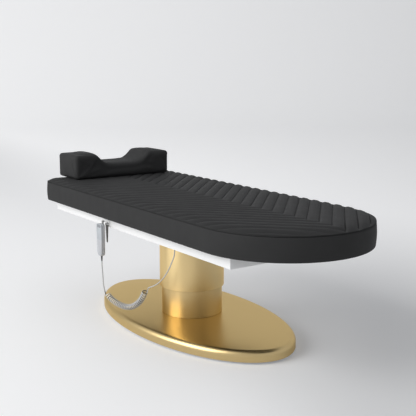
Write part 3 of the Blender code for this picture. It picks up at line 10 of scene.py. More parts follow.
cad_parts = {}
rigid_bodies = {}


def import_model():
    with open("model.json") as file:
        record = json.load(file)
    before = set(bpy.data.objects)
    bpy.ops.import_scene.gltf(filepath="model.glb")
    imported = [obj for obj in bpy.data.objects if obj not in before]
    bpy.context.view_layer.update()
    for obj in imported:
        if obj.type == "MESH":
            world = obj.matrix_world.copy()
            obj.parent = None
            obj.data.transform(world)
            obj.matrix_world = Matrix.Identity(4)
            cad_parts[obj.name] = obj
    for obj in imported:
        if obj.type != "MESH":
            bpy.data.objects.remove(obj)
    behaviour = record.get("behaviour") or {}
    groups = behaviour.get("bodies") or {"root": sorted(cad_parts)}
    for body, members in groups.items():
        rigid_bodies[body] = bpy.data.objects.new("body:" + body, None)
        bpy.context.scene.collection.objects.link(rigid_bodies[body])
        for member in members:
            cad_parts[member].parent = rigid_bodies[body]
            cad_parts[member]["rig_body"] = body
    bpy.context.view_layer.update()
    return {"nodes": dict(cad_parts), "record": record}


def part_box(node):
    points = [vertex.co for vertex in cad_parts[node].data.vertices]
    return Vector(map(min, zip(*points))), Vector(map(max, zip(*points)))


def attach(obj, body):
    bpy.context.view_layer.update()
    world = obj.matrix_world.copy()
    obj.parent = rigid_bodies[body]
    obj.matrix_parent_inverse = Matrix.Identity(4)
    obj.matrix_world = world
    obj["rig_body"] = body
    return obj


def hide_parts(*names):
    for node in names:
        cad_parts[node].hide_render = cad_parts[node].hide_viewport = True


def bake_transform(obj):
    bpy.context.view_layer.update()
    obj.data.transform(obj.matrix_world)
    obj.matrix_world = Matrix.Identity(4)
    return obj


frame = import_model()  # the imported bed: its bodies, nodes, joints and record

bl_info = {
    "name": "Electric treatment bed",
    "version": (1, 0, 0),
    "blender": (4, 5, 0),
    "location": "3D View > Sidebar > Treatment bed",
    "description": "Dresses the packed treatment bed with fine surfaces, materials and light",
    "category": "Object",
}

MM = 0.001

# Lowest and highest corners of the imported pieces, which the fine ones are fitted to
PAD_LOW, PAD_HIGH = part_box("mattress")
PILLOW_LOW, PILLOW_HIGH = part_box("pillow")
COVER_LOW, COVER_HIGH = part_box("base_cover")
FRAME_LOW, FRAME_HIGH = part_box("bed_frame")
LOWER_LOW, LOWER_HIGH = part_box("lower_sleeve")
UPPER_LOW, UPPER_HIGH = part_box("upper_sleeve")
WIPER_LOW, WIPER_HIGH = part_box("sleeve_wiper")
BODY_LOW, BODY_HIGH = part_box("handset_body")
RELIEF_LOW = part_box("handset_strain_relief")[0]
COLUMN_X = (COVER_LOW.x + COVER_HIGH.x) / 2
HANDSET_X = (BODY_LOW.x + BODY_HIGH.x) / 2
HALF_WIDTH = PAD_HIGH.y
FOOT_ARC_X = PAD_HIGH.x - HALF_WIDTH
SLOT_OF_NODE = {part["node"]: part["material_slot"] for part in frame["record"]["subparts"]}

# The handset cord's route from its strain relief to its plug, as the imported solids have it, in
# metres along from the handset, out from the near rail's face and up from the frame's underside
CORD_ROUTE = [
    (0.0000, -0.0363, -0.1610),
    (0.0000, -0.0363, -0.1790),
    (0.0021, -0.0359, -0.2029),
    (0.0053, -0.0353, -0.2391),
    (0.0082, -0.0348, -0.2730),
    (0.0156, -0.0335, -0.2991),
    (0.0355, -0.0299, -0.3151),
    (0.0577, -0.0258, -0.3295),
    (0.0873, -0.0205, -0.3407),
    (0.1247, -0.0137, -0.3480),
    (0.1654, -0.0063, -0.3495),
    (0.2058, 0.0010, -0.3418),
    (0.2415, 0.0074, -0.3247),
    (0.2727, 0.0131, -0.2999),
    (0.2960, 0.0173, -0.2704),
    (0.3123, 0.0203, -0.2418),
    (0.3316, 0.0238, -0.2253),
    (0.3558, 0.0282, -0.2143),
    (0.3845, 0.0334, -0.1993),
    (0.4169, 0.0392, -0.1742),
    (0.4457, 0.0444, -0.1438),
    (0.4696, 0.0488, -0.1098),
    (0.4882, 0.0521, -0.0759),
    (0.5006, 0.0544, -0.0475),
    (0.5040, 0.0550, -0.0236),
]
CURL_START_INDEX, CURL_END_INDEX = 6, 15  # the route's points between which the cord is curled
CURL_TURNS = 27
CURL_ENTRY_ANGLE = -90.0  # degrees
POINTS_PER_CURL = 28
LEAD_STEP = 0.003  # metres from point to point along the plain leads
ROUTE_SAMPLES = 40  # points on the smooth route for each stretch between two of its points

GOLD_EDGE = "FFF1D4"  # what gilding turns to at a glancing angle
FILM_BLUE, FILM_GREY = "B5BABE", "C0C2C6"
FILM_SPLIT = 75 * MM  # from the handset's top down to where the film changes colour
# The dark painted as shade on the curls' inner side and flanks, and mixed evenly into the leads
CORD_PAINTED_SHADE = "303030"

BASE_SIDES, TUBE_SIDES = 256, 224  # points round the oval cover and round each sleeve
CLOTH_PRESSURE, CLOTH_FRAMES = 4.0, 20
STITCHED = 0.93  # from here to 1, a point across its rib is held by the stitches
SEAM_REACH = 0.9  # the share of the seam's gape, above it and below, that its thread holds
LEDGE = 0.35  # the share of the gape at which the seam's two rolls begin
# Where the rows of points lie across a rib: close together at its grooves
RIB_ROWS = np.array([0.0, 0.02, 0.045, 0.08, 0.125, 0.18, 0.25, 0.35])
# A curl's painted shade starts this far outside the cord's middle, and grows over this width, in
# radii; the leads take an even share of it
SHADE_START, SHADE_WIDTH, LEAD_SHADE = -0.8, 0.9, 0.45

# The stage, in metres from the bed's middle: ahead is away from the camera
FLOOR_NEAR, FLOOR_FAR, SWEEP_RADIUS, SWEEP_TOP, FLOOR_HALF = -25.0, 13.0, 5.0, 16.0, 36.0
FLOOR_ROWS, BEND_ROWS, FLOOR_COLUMNS = 77, 16, 145
FAN_NEAREST, NEAR_FAN, FAR_FAN = 2.5, 0.28, 0.26  # the glow's least distance, and its tangents
FAR_SLANT, FAR_START, FAR_END = 1.5, 0.8, 5.6  # where the backdrop's glow takes over
KEY_WIDTH, KEY_HEIGHT, KEY_PLACE, KEY_AIM = 6.5, 5.5, (-1.8, -6.9, 4.3), (0.0, 0.0, 0.4)
CAMERA_PLACE, CAMERA_DOWN, SENSOR = (2.934, -1.989, 1.202), 10.18, 36.0


# Colour and nodes

def linear(hex_colour):
    """An sRGB hex colour as the linear values that shaders take."""
    channels = [int(hex_colour[i : i + 2], 16) / 255 for i in (0, 2, 4)]
    return [c / 12.92 if c <= 0.04045 else ((c + 0.055) / 1.055) ** 2.4 for c in channels]


def rgba(hex_colour):
    """The same with full alpha."""
    return (*linear(hex_colour), 1.0)


def chosen(name):
    """A colour from the settings, as linear values."""
    return tuple(getattr(bpy.context.scene.bed_finish, name))


def add(tree, kind, inputs=None, **settings):
    """Adds a shader node with its settings, and gives its inputs values or other outputs."""
    node = tree.nodes.new("ShaderNode" + kind)
    for key, value in settings.items():
        setattr(node, key, value)
    for key, value in (inputs or {}).items():
        socket = node.inputs[key]
        if isinstance(value, bpy.types.NodeSocket):
            tree.links.new(value, socket)
        else:
            socket.default_value = value
    return node


def new_material(name, **sockets):
    """A node material with a Principled shader whose named sockets are set to constants."""
    material = bpy.data.materials.new(name)
    material.use_nodes = True
    tree = material.node_tree
    shader = tree.nodes["Principled BSDF"]
    for key, value in sockets.items():
        shader.inputs[key.replace("_", " ")].default_value = value
    return material, tree, shader


def object_point(tree, scale=(1.0, 1.0, 1.0)):
    """The object's own coordinates, scaled, so that a pattern keeps its real size."""
    where = add(tree, "TexCoord")
    return add(tree, "Mapping", {"Vector": where.outputs["Object"], "Scale": scale}).outputs[0]


def mottled(tree, shader, colour, spread, period, point=None):
    """Colours a shader with linear values, varied a little in patches of a real size."""
    point = point or object_point(tree)
    patches = add(tree, "TexNoise", {"Vector": point, "Scale": 1 / period, "Detail": 3.0})
    low = [max(0.0, c * (1 - spread)) for c in colour]
    high = [min(1.0, c * (1 + spread)) for c in colour]
    inputs = {0: patches.outputs[0], 6: (*low, 1.0), 7: (*high, 1.0)}
    mix = add(tree, "Mix", inputs, data_type="RGBA")
    tree.links.new(mix.outputs[2], shader.inputs["Base Color"])


def varied_roughness(tree, shader, low, high, period, point=None):
    """Roughness that wanders between two values in patches of a real size."""
    point = point or object_point(tree)
    patches = add(tree, "TexNoise", {"Vector": point, "Scale": 1 / period, "Detail": 2.0})
    spread = add(tree, "MapRange", {"Value": patches.outputs[0], "To Min": low, "To Max": high})
    tree.links.new(spread.outputs[0], shader.inputs["Roughness"])


def relief(tree, shader, height, depth, strength=1.0, before=None):
    """Bumps a shader's normal by a height from 0 to 1 that stands for a depth in metres."""
    inputs = {"Height": height, "Distance": depth, "Strength": strength}
    if before is not None:
        inputs["Normal"] = before
    bump = add(tree, "Bump", inputs)
    tree.links.new(bump.outputs[0], shader.inputs["Normal"])
    return bump.outputs[0]


def grained(tree, shader, period, depth, **noise):
    """Bumps a shader with noise whose grains have a real size and depth."""
    inputs = {"Vector": object_point(tree), "Scale": 1 / period} | noise
    relief(tree, shader, add(tree, "TexNoise", inputs).outputs[0], depth)


# Materials, each named for what it is and how its surface was made

def satin_gold_sheet():
    """Stainless sheet, ground satin and titanium gilded: reflections are warm with soft edges."""
    material, tree, shader = new_material(
        "satin_gold_sheet", Metallic=1.0, Specular_Tint=rgba(GOLD_EDGE)
    )
    mottled(tree, shader, chosen("base_gold"), 0.01, 600 * MM)
    # Grinding lines are under 0.1 mm wide, so they are drawn 1.5 mm wide, and in the gloss alone
    lines = object_point(tree, (6.0, 650.0, 650.0))
    varied_roughness(tree, shader, 0.31, 0.34, 1.0, lines)
    return material


def gilded_tube(name, colour):
    """The same gilded stainless, ground round the tube: highlights stretch up and down it."""
    material, tree, shader = new_material(
        name, Metallic=1.0, Anisotropic=0.75, Anisotropic_Rotation=0.25,
        Specular_Tint=rgba(GOLD_EDGE),
    )
    mottled(tree, shader, colour, 0.01, 600 * MM)
    lines = object_point(tree, (6.0, 6.0, 650.0))
    varied_roughness(tree, shader, 0.30, 0.33, 1.0, lines)
    around = add(tree, "Tangent", direction_type="RADIAL", axis="Z")
    tree.links.new(around.outputs[0], shader.inputs["Tangent"])
    return material


def turned_gold_tube():
    """The upper sleeve's gilding."""
    return gilded_tube("turned_gold_tube", chosen("upper_gold"))


def deep_turned_gold_tube():
    """The lower sleeve's gilding, a darker copy of the upper one's that paints shade onto the lower
    sleeve.
    """
    return gilded_tube("deep_turned_gold_tube", chosen("lower_gold"))


def white_powder_coat():
    """Baked polyester powder on steel: even and bright, with a faint orange peel in its gloss."""
    material, tree, shader = new_material("white_powder_coat", Roughness=0.38)
    mottled(tree, shader, chosen("paint"), 0.01, 90 * MM)
    grained(tree, shader, 1.6 * MM, 0.02 * MM)
    return material


def embossed_synthetic_leather():
    """Polyurethane leather with an embossed pebble grain: near black, with a soft broad sheen."""
    material, tree, shader = new_material(
        "embossed_synthetic_leather", Roughness=0.6, Specular_IOR_Level=0.05
    )
    point = object_point(tree)
    mottled(tree, shader, chosen("leather"), 0.10, 70 * MM, point)
    varied_roughness(tree, shader, 0.56, 0.66, 45 * MM, point)
    # The pebbles are about 0.8 mm across, drawn at twice that so that they show
    inputs = {"Vector": point, "Scale": 1 / (1.6 * MM)}
    pebbles = add(tree, "TexVoronoi", inputs, feature="SMOOTH_F1")
    first = relief(tree, shader, pebbles.outputs["Distance"], 0.10 * MM, 0.6)
    inputs = {"Vector": point, "Scale": 1 / (14 * MM), "Detail": 4.0, "Distortion": 0.6}
    creases = add(tree, "TexNoise", inputs)
    relief(tree, shader, creases.outputs[0], 0.35 * MM, 0.5, first)
    return material


def nonwoven_lining():
    """Spunbond felt stapled over plywood: flat black with tiny pressed dimples."""
    material, tree, shader = new_material("nonwoven_lining", Roughness=0.95)
    mottled(tree, shader, linear("1E1E1E"), 0.15, 4 * MM)
    dots = add(tree, "TexVoronoi", {"Vector": object_point(tree), "Scale": 1 / (2.2 * MM)})
    relief(tree, shader, dots.outputs["Distance"], 0.15 * MM, 0.7)
    return material


def zinc_plated_steel():
    """Bright zinc on machined steel: cool and a little cloudy, with blurred reflections."""
    material, tree, shader = new_material("zinc_plated_steel", Metallic=1.0)
    mottled(tree, shader, linear("B4B8BE"), 0.08, 12 * MM)
    varied_roughness(tree, shader, 0.26, 0.42, 8 * MM)
    return material


def drawn_aluminium():
    """Drawn tube: pale metal with long faint draw lines."""
    material, tree, shader = new_material("drawn_aluminium", Metallic=1.0, Roughness=0.3)
    mottled(tree, shader, linear("C6C8CB"), 0.04, 40 * MM)
    lines = object_point(tree, (3000.0, 3000.0, 15.0))
    draw = add(tree, "TexNoise", {"Vector": lines, "Scale": 1.0})
    relief(tree, shader, draw.outputs[0], 0.006 * MM)
    return material


def moulded_nylon():
    """Moulded nylon: warm white, slightly waxy."""
    material, tree, shader = new_material(
        "moulded_nylon", Roughness=0.45, Subsurface_Weight=0.1, Subsurface_Scale=2 * MM
    )
    mottled(tree, shader, linear("E4E1D6"), 0.03, 20 * MM)
    return material


def spark_textured(name, colour, roughness):
    """Moulded ABS from a spark-eroded mould: an even matt grain of about half a millimetre."""
    material, tree, shader = new_material(name, Roughness=roughness)
    mottled(tree, shader, colour, 0.04, 25 * MM)
    grained(tree, shader, 0.6 * MM, 0.03 * MM, Detail=3.0)
    return material


def dark_moulded_abs():
    """Charcoal housings: control box, socket and the wiper."""
    return spark_textured("dark_moulded_abs", linear("505052"), 0.42)


def grey_moulded_abs():
    """The handset's pale housing."""
    return spark_textured("grey_moulded_abs", chosen("handset"), 0.38)


def mid_grey_abs():
    """The clip and the hanger's tongue."""
    return spark_textured("mid_grey_abs", linear("7C7C7A"), 0.42)


def rubbery_grey_key():
    """Keys of silicone rubber, matter than the housing."""
    return spark_textured("rubbery_grey_key", linear("8F9195"), 0.6)


def film_on_grey_abs():
    """Grey ABS under a clear keypad film, printed pale blue above and warm grey below."""
    material, tree, shader = new_material("film_on_grey_abs", Roughness=0.30)
    height = add(tree, "SeparateXYZ", {"Vector": object_point(tree)}).outputs["Z"]
    middle = BODY_HIGH.z - FILM_SPLIT
    inputs = {"Value": height, "From Min": middle - 1 * MM, "From Max": middle + 1 * MM}
    above = add(tree, "MapRange", inputs)
    inputs = {0: above.outputs[0], 6: rgba(FILM_GREY), 7: rgba(FILM_BLUE)}
    mix = add(tree, "Mix", inputs, data_type="RGBA")
    tree.links.new(mix.outputs[2], shader.inputs["Base Color"])
    grained(tree, shader, 0.6 * MM, 0.01 * MM)
    return material


def clear_green_lens():
    """Tinted clear polycarbonate: a small glossy dot with some depth."""
    material, tree, shader = new_material("clear_green_lens", Roughness=0.12, Coat_Weight=0.5)
    mottled(tree, shader, linear("5FB26C"), 0.05, 2 * MM)
    return material


def extruded_cord_jacket():
    """Soft polyurethane jacket, drawn through a die: its gloss gives each curl a highlight."""
    material, tree, shader = new_material("extruded_cord_jacket", Roughness=0.22, Coat_Weight=0.5)
    # Painted shade: the curls' inner side and flanks are darkened by a mark, which lets the turns
    # read one by one
    inner = add(tree, "Attribute", attribute_name="inner_side").outputs["Fac"]
    inputs = {0: inner, 6: (*chosen("cord"), 1.0), 7: rgba(CORD_PAINTED_SHADE)}
    mix = add(tree, "Mix", inputs, data_type="RGBA")
    tree.links.new(mix.outputs[2], shader.inputs["Base Color"])
    grained(tree, shader, 0.8 * MM, 0.01 * MM)
    return material


def moulded_rubber():
    """Moulded rubber: dull black with a fine bloom."""
    material, tree, shader = new_material("moulded_rubber", Roughness=0.82)
    mottled(tree, shader, linear("242424"), 0.2, 6 * MM)
    return material


FINISH_OF_SLOT = {
    "satin_gold": satin_gold_sheet,
    "white_paint": white_powder_coat,
    "black_leather": embossed_synthetic_leather,
    "board": nonwoven_lining,
    "zinc_steel": zinc_plated_steel,
    "drawn_aluminium": drawn_aluminium,
    "nylon": moulded_nylon,
    "dark_plastic": dark_moulded_abs,
    "grey_plastic": grey_moulded_abs,
    "indicator": clear_green_lens,
    "cord": extruded_cord_jacket,
    "rubber": moulded_rubber,
}


def finished(make):
    """The material that a finish function makes, made once and then shared."""
    return bpy.data.materials.get(make.__name__) or make()


def dress(*names):
    """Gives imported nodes, which keep their own meshes, the fine material of their slot."""
    for name in names:
        for holder in frame["nodes"][name].material_slots:
            holder.material = finished(FINISH_OF_SLOT[SLOT_OF_NODE[name]])


# Surfaces: whole arrays of points, put into a mesh at once

def grid_faces(rows, columns, close_rows=False, close_columns=False):
    """Quads over a grid of points numbered row by row, closed round either way if asked."""
    row = np.arange(rows if close_rows else rows - 1)[:, None]
    column = np.arange(columns if close_columns else columns - 1)[None, :]
    next_row, next_column = (row + 1) % rows, (column + 1) % columns
    corners = (
        row * columns + column,
        next_row * columns + column,
        next_row * columns + next_column,
        row * columns + next_column,
    )
    return np.stack(corners, axis=-1).reshape(-1, 4)


def rectangle(low_x, low_y, high_x, high_y):
    """The corners of a rectangle, going round from the lowest."""
    return [(low_x, low_y), (high_x, low_y), (high_x, high_y), (low_x, high_y)]


def at_height(plan, height):
    """A ring of points in plan, all at one height."""
    return np.column_stack([plan, np.full(len(plan), height)])


def standing_at(section, y):
    """A ring of points in an upright section along X, at one place across the bed."""
    return np.column_stack([section[:, 0], np.full(len(section), y), section[:, 1]])


def linked(name, data):
    """A new object in the scene, at the origin."""
    thing = bpy.data.objects.new(name, data)
    bpy.context.scene.collection.objects.link(thing)
    return thing


def places(mesh):
    """Where a mesh's points are, one to a row."""
    flat = np.empty(3 * len(mesh.vertices))
    mesh.vertices.foreach_get("co", flat)
    return flat.reshape(-1, 3)


def mesh_piece(name, mesh, finish, body, stands_for, sharp):
    """A piece from a mesh, smooth up to a sharp angle in degrees, that rides on a body."""
    mesh.shade_smooth()
    mesh.set_sharp_from_angle(angle=math.radians(sharp))
    mesh.materials.append(finished(finish))
    piece = linked(name, mesh)
    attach(piece, body)
    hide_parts(*stands_for)
    return piece


def new_piece(name, surface, finish, body, stands_for, sharp=40.0, weld=MM / 1000):
    """A piece from a surface, which is welded and turned to face outwards."""
    points, faces = surface
    if isinstance(faces, np.ndarray):
        faces = faces.tolist()
    mesh = bpy.data.meshes.new(name)
    mesh.from_pydata(points.reshape(-1, 3).tolist(), [], faces)
    bm = bmesh.new()
    bm.from_mesh(mesh)
    bmesh.ops.remove_doubles(bm, verts=bm.verts, dist=weld)
    bmesh.ops.dissolve_degenerate(bm, edges=bm.edges, dist=weld)
    bmesh.ops.recalc_face_normals(bm, faces=bm.faces)
    bm.to_mesh(mesh)
    bm.free()
    return mesh_piece(name, mesh, finish, body, stands_for, sharp)


def rounded_copy(node, radius, finish=None):
    """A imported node's shape with its sharp edges rounded, as a piece that stands for the node."""
    source, slot = frame["nodes"][node], SLOT_OF_NODE[node]
    bm = bmesh.new()
    bm.from_mesh(source.data)
    bmesh.ops.remove_doubles(bm, verts=bm.verts, dist=MM / 100)
    flat = math.radians(1.0)
    bmesh.ops.dissolve_limit(bm, angle_limit=flat, verts=bm.verts, edges=bm.edges)
    sharp = [e for e in bm.edges if e.is_manifold and e.calc_face_angle() > math.radians(28.0)]
    bmesh.ops.bevel(
        bm, geom=sharp, offset=radius, offset_type="OFFSET", segments=3, profile=0.5,
        affect="EDGES", clamp_overlap=True,
    )
    bmesh.ops.recalc_face_normals(bm, faces=bm.faces)
    name = f"{node}_rounded"
    mesh = bpy.data.meshes.new(name)
    bm.to_mesh(mesh)
    bm.free()
    finish = finish or FINISH_OF_SLOT[slot]
    return mesh_piece(name, mesh, finish, source["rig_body"], [node], 35.0)


def inward_corners(corners, inset):
    """A closed outline's corners moved inwards until both their sides are an inset away.

    The move is the sum of both sides' inward directions over one plus their dot product.
    """
    p = np.asarray(corners, float)
    side = np.roll(p, -1, 0) - p
    side /= np.linalg.norm(side, axis=1, keepdims=True)
    turn = np.sign(np.cross(p, np.roll(p, -1, 0)).sum())
    inward = turn * np.stack([-side[:, 1], side[:, 0]], axis=1)
    before = np.roll(inward, 1, 0)
    shared = 1.0 + (before * inward).sum(1, keepdims=True)
    return p + inset * (before + inward) / shared


def filleted(corners, radii, steps=6):
    """A closed outline whose corners are arcs tangent to both sides; a radius may be nothing.

    An arc's centre is the radius over the sine of half the corner's angle along its middle line,
    and the arc goes round it in even turns from one tangent point to the other.
    """
    p = np.asarray(corners, float)
    radius = np.broadcast_to(np.asarray(radii, float), len(p))[:, None]
    back, on = np.roll(p, 1, 0) - p, np.roll(p, -1, 0) - p
    back /= np.linalg.norm(back, axis=1, keepdims=True)
    on /= np.linalg.norm(on, axis=1, keepdims=True)
    half = np.arccos(np.clip((back * on).sum(1, keepdims=True), -1.0, 1.0)) / 2
    middle = back + on
    middle /= np.linalg.norm(middle, axis=1, keepdims=True)
    centre = p + middle * radius / np.sin(half)
    start = p + back * radius / np.tan(half) - centre
    end = p + on * radius / np.tan(half) - centre
    turn = (math.pi - 2 * half)[:, None]
    t = np.linspace(0.0, 1.0, steps + 1)[None, :, None]
    along = np.sin((1 - t) * turn) * start[:, None] + np.sin(t * turn) * end[:, None]
    return (centre[:, None] + along / np.sin(turn)).reshape(-1, 2)


def turned(profile, low):
    """Turned about the column's line: a closed profile of radius and height goes round.

    X is the radius times the angle's cosine and Y the radius times its sine.
    """
    angle = np.linspace(0.0, math.tau, TUBE_SIDES, endpoint=False)[:, None]
    radius, height = np.asarray(profile, float).T
    x = COLUMN_X + radius * np.cos(angle)
    y = radius * np.sin(angle)
    z = np.broadcast_to(low + height, x.shape)
    return np.stack([x, y, z], -1), grid_faces(TUBE_SIDES, len(radius), True, True)


def denser(outline, count):
    """A closed outline as a number of points spread evenly along it."""
    loop = np.vstack([outline, outline[:1]])
    reach = np.concatenate([[0.0], np.cumsum(np.linalg.norm(np.diff(loop, axis=0), axis=1))])
    at = np.linspace(0.0, reach[-1], count, endpoint=False)
    return np.stack([np.interp(at, reach, loop[:, axis]) for axis in range(2)], axis=1)


def ease(share):
    """An S from 0 to 1: three times the square less twice the cube."""
    share = np.clip(share, 0.0, 1.0)
    return share * share * (3.0 - 2.0 * share)


# The oval base

def ellipse_ring(half_length, half_width, inset, count):
    """An ellipse's points, half axes times cosine and sine, moved inwards square to its edge."""
    angle = np.linspace(0.0, math.tau, count, endpoint=False)
    edge = np.stack([half_length * np.cos(angle), half_width * np.sin(angle)], axis=1)
    out = np.stack([np.cos(angle) / half_length, np.sin(angle) / half_width], axis=1)
    return edge - inset * out / np.linalg.norm(out, axis=1, keepdims=True)


def build_base(size):
    """The cover is a band, a quarter-round shoulder and a flat top, with its sheet's inside.

    The shoulder's rings go in by one minus the cosine of its angle and up by the sine. On the
    flat, rings turn from the oval to the circle of the column's hole in shares of the way.
    """
    half_length = (COVER_HIGH.x - COVER_LOW.x) / 2
    half_width = (COVER_HIGH.y - COVER_LOW.y) / 2
    low, top = COVER_LOW.z, COVER_HIGH.z
    wall, radius, hole = size.sheet, size.shoulder, size.hole_radius
    bend = np.linspace(0.0, math.pi / 2, 9)
    rings = []

    def add_ring(flat, height):
        rings.append(at_height(flat, height))

    def oval(inset):
        return ellipse_ring(half_length, half_width, inset, BASE_SIDES)

    def circle(outline, reach):
        return reach * outline / np.linalg.norm(outline, axis=1, keepdims=True)

    add_ring(oval(wall * 0.7), low)
    add_ring(oval(0.0), low + wall * 0.7)
    for angle in bend:
        add_ring(oval(radius * (1 - math.cos(angle))), top - radius * (1 - math.sin(angle)))
    edge = oval(radius)
    for share in (0.35, 0.7):
        add_ring(edge + share * (circle(edge, hole) - edge), top)
    for reach, height in ((hole + wall / 2, top), (hole, top - wall / 2), (hole, top - wall)):
        add_ring(circle(oval(0.0), reach), height)
    inner = radius - wall
    for angle in bend[::-1]:
        height = top - wall - inner * (1 - math.sin(angle))
        add_ring(oval(wall + inner * (1 - math.cos(angle))), height)
    add_ring(oval(wall), low + wall * 0.4)
    points = np.stack(rings)
    points[..., 0] += COLUMN_X
    surface = (points, grid_faces(len(rings), BASE_SIDES, True, True))
    new_piece("base_shell", surface, satin_gold_sheet, "base", ["base_cover"])
    dress("base_plate")
    for index in range(1, 5):
        rounded_copy(f"base_foot_{index}", 1.5 * MM)


# The telescopic column

def build_column(size):
    """Each sleeve is a tube's wall with rims rolled round, and the wiper a ring between them."""
    for name, low, high, body, gilding in (
        # The lower sleeve's gilding is the upper one's painted darker as shade
        ("lower_sleeve", LOWER_LOW, LOWER_HIGH, "base", deep_turned_gold_tube),
        ("upper_sleeve", UPPER_LOW, UPPER_HIGH, "platform", turned_gold_tube),
    ):
        outer, inner, height = high.y, high.y - size.sleeve_wall, high.z - low.z
        corners = [(outer, 0.0), (outer, height), (inner, height), (inner, 0.0)]
        surface = turned(filleted(corners, (outer - inner) * 0.45, 4), low.z)
        new_piece(f"{name}_tube", surface, gilding, body, [name])
    # The wiper clears the lower sleeve by 0.3 mm
    outer, inner = WIPER_HIGH.y, LOWER_HIGH.y + 0.3 * MM
    height = WIPER_HIGH.z - WIPER_LOW.z
    corners = [(outer, 0.0), (outer, height), (inner, height), (inner, 0.0)]
    surface = turned(filleted(corners, 1.5 * MM, 4), WIPER_LOW.z)
    new_piece(
        "wiper_ring", surface, dark_moulded_abs, "platform", ["sleeve_wiper"]
    )


def build_drive():
    """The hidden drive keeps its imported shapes, in the finish of their slots."""
    guides = ("guide_outer", "guide_inner", "guide_bush_fixed", "guide_bush_moving")
    dress(
        "column_foot", "lower_pin", "upper_pin", "gearbox", "actuator_motor", "actuator_tube",
        "actuator_bush", "lead_screw", "drive_nut", "push_tube", "lift_bridge",
        *[f"foot_bolt_{index}" for index in range(1, 5)],
        *[f"{guide}_{side}" for guide in guides for side in ("head", "foot")],
    )


# The frame

def rail_ring(size):
    """A folded channel's section carried round a rectangle.

    Each point of the section is the rectangle moved inwards by its depth, at its height.
    """
    wall, depth = size.rail_wall, size.rail_depth
    height = FRAME_HIGH.z - FRAME_LOW.z
    section = [(0.0, 0.0), (depth, 0.0), (depth, wall), (wall, wall)]
    section += [(inset, height - rise) for inset, rise in section[::-1]]
    outer, inner, lip = size.fold_radius, size.fold_radius - wall * 0.6, wall * 0.3
    section = filleted(section, [outer, lip, lip, inner, inner, lip, lip, outer], 5)
    corners = rectangle(FRAME_LOW.x, FRAME_LOW.y, FRAME_HIGH.x, FRAME_HIGH.y)
    rings = []
    for inset, rise in section:
        # The rail's corners are rounded by 2.5 mm outside, and by less further in
        ring = filleted(inward_corners(corners, inset), max(2.5 * MM - inset, 0.5 * MM), 4)
        rings.append(at_height(ring, FRAME_LOW.z + rise))
    points = np.stack(rings)
    return points, grid_faces(len(rings), points.shape[1], True, True)


def cross_tube(size, x):
    """A square tube across the frame: its outer and inner outlines at both open ends.

    It stops 2 mm short of the rail's wall and sits half a millimetre into its flanges.
    """
    reach = -FRAME_LOW.y - size.rail_wall - 2 * MM
    half, seat = size.cross_width / 2, size.rail_wall - 0.5 * MM
    corners = rectangle(x - half, FRAME_LOW.z + seat, x + half, FRAME_HIGH.z - seat)
    outer = filleted(corners, 4 * MM, 5)
    inner = filleted(inward_corners(corners, size.rail_wall), 1.5 * MM, 5)
    ends = ((outer, -reach), (outer, reach), (inner, reach), (inner, -reach))
    rings = [standing_at(section, y) for section, y in ends]
    return np.stack(rings), grid_faces(len(rings), len(outer), True, True)


def build_frame(size):
    """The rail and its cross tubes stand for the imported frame, and the rest is rounded."""
    surfaces = {"rail_ring": rail_ring(size)}
    for index, offset in enumerate((-0.620, -0.100, 0.100, 0.600), 1):
        surfaces[f"cross_tube_{index}"] = cross_tube(size, COLUMN_X + offset)
    for name, surface in surfaces.items():
        new_piece(name, surface, white_powder_coat, "platform", ["bed_frame"])
    rounded_copy("carrier_plate", 0.8 * MM)
    rounded_copy("deck_board", 1.5 * MM)
    for index in range(1, 5):
        rounded_copy(f"carrier_bolt_{index}", 0.5 * MM)


# The quilted pad

def pad_ends(y, corner_radius, inset):
    """Where a plan inside the pad's own begins and ends along X, at y from the middle.

    The head's corners drop back by the radius less the root of its square less that of the
    distance past the corner's centre, and the foot is a half circle.
    """
    radius = corner_radius - inset
    corner = np.clip(np.abs(y) - (HALF_WIDTH - corner_radius), 0.0, radius)
    drop = radius - np.sqrt(radius**2 - corner**2)
    half = HALF_WIDTH - inset
    return PAD_LOW.x + inset + drop, FOOT_ARC_X + np.sqrt(np.maximum(half**2 - y**2, 0.0))


def pad_outward(x, y, corner_radius):
    """The outward direction of the pad's edge in plan, for points on or near it.

    It points away from the centre of the foot's half circle or the corner's arc, and elsewhere
    straight to the side or the head.
    """
    corner_x, corner_y = PAD_LOW.x + corner_radius, HALF_WIDTH - corner_radius
    round_foot = np.stack([x - FOOT_ARC_X, y], -1)
    round_head = np.stack([x - corner_x, y - np.copysign(corner_y, y)], -1)
    side = np.stack([np.zeros_like(x), np.sign(y)], -1)
    end = np.stack([-np.ones_like(x), np.zeros_like(y)], -1)
    at_foot = (x >= FOOT_ARC_X)[..., None]
    at_head = ((x < corner_x) & (np.abs(y) > corner_y))[..., None]
    at_side = (np.abs(y) > corner_y)[..., None]
    straight = np.where(at_side, side, end)
    out = np.where(at_foot, round_foot, np.where(at_head, round_head, straight))
    return out / np.maximum(np.linalg.norm(out, axis=-1, keepdims=True), 1e-12)


def pad_inwards(x, y, size):
    """How far in from the pad's plan points lie, less the width of the top's rolled edge.

    It is the least of the distances to the head, the sides and the foot's half circle, or in a
    head corner the radius less the distance from its centre.
    """
    head, _ = pad_ends(y, size.corner_radius, 0.0)
    from_foot = HALF_WIDTH - np.hypot(np.maximum(x - FOOT_ARC_X, 0.0), y)
    corner_x, corner_y = PAD_LOW.x + size.corner_radius, HALF_WIDTH - size.corner_radius
    in_corner = (x < corner_x) & (np.abs(y) > corner_y)
    from_corner = size.corner_radius - np.hypot(x - corner_x, np.abs(y) - corner_y)
    inwards = np.minimum(np.minimum(x - head, from_foot), HALF_WIDTH - np.abs(y))
    return np.maximum(np.where(in_corner, from_corner, inwards) - size.top_roll, 0.0)


def rib_place(x, y, size):
    """How far across its rib a point lies, from 0 in the middle to 1 in the sewn groove.

    Along the bed, plus the slope times the distance from the middle, a rib is one pitch long.
    """
    place = (x + size.rib_slope * np.abs(y) - PAD_LOW.x - size.first_groove) / size.rib_pitch
    return np.abs(2.0 * (place - np.floor(place)) - 1.0)


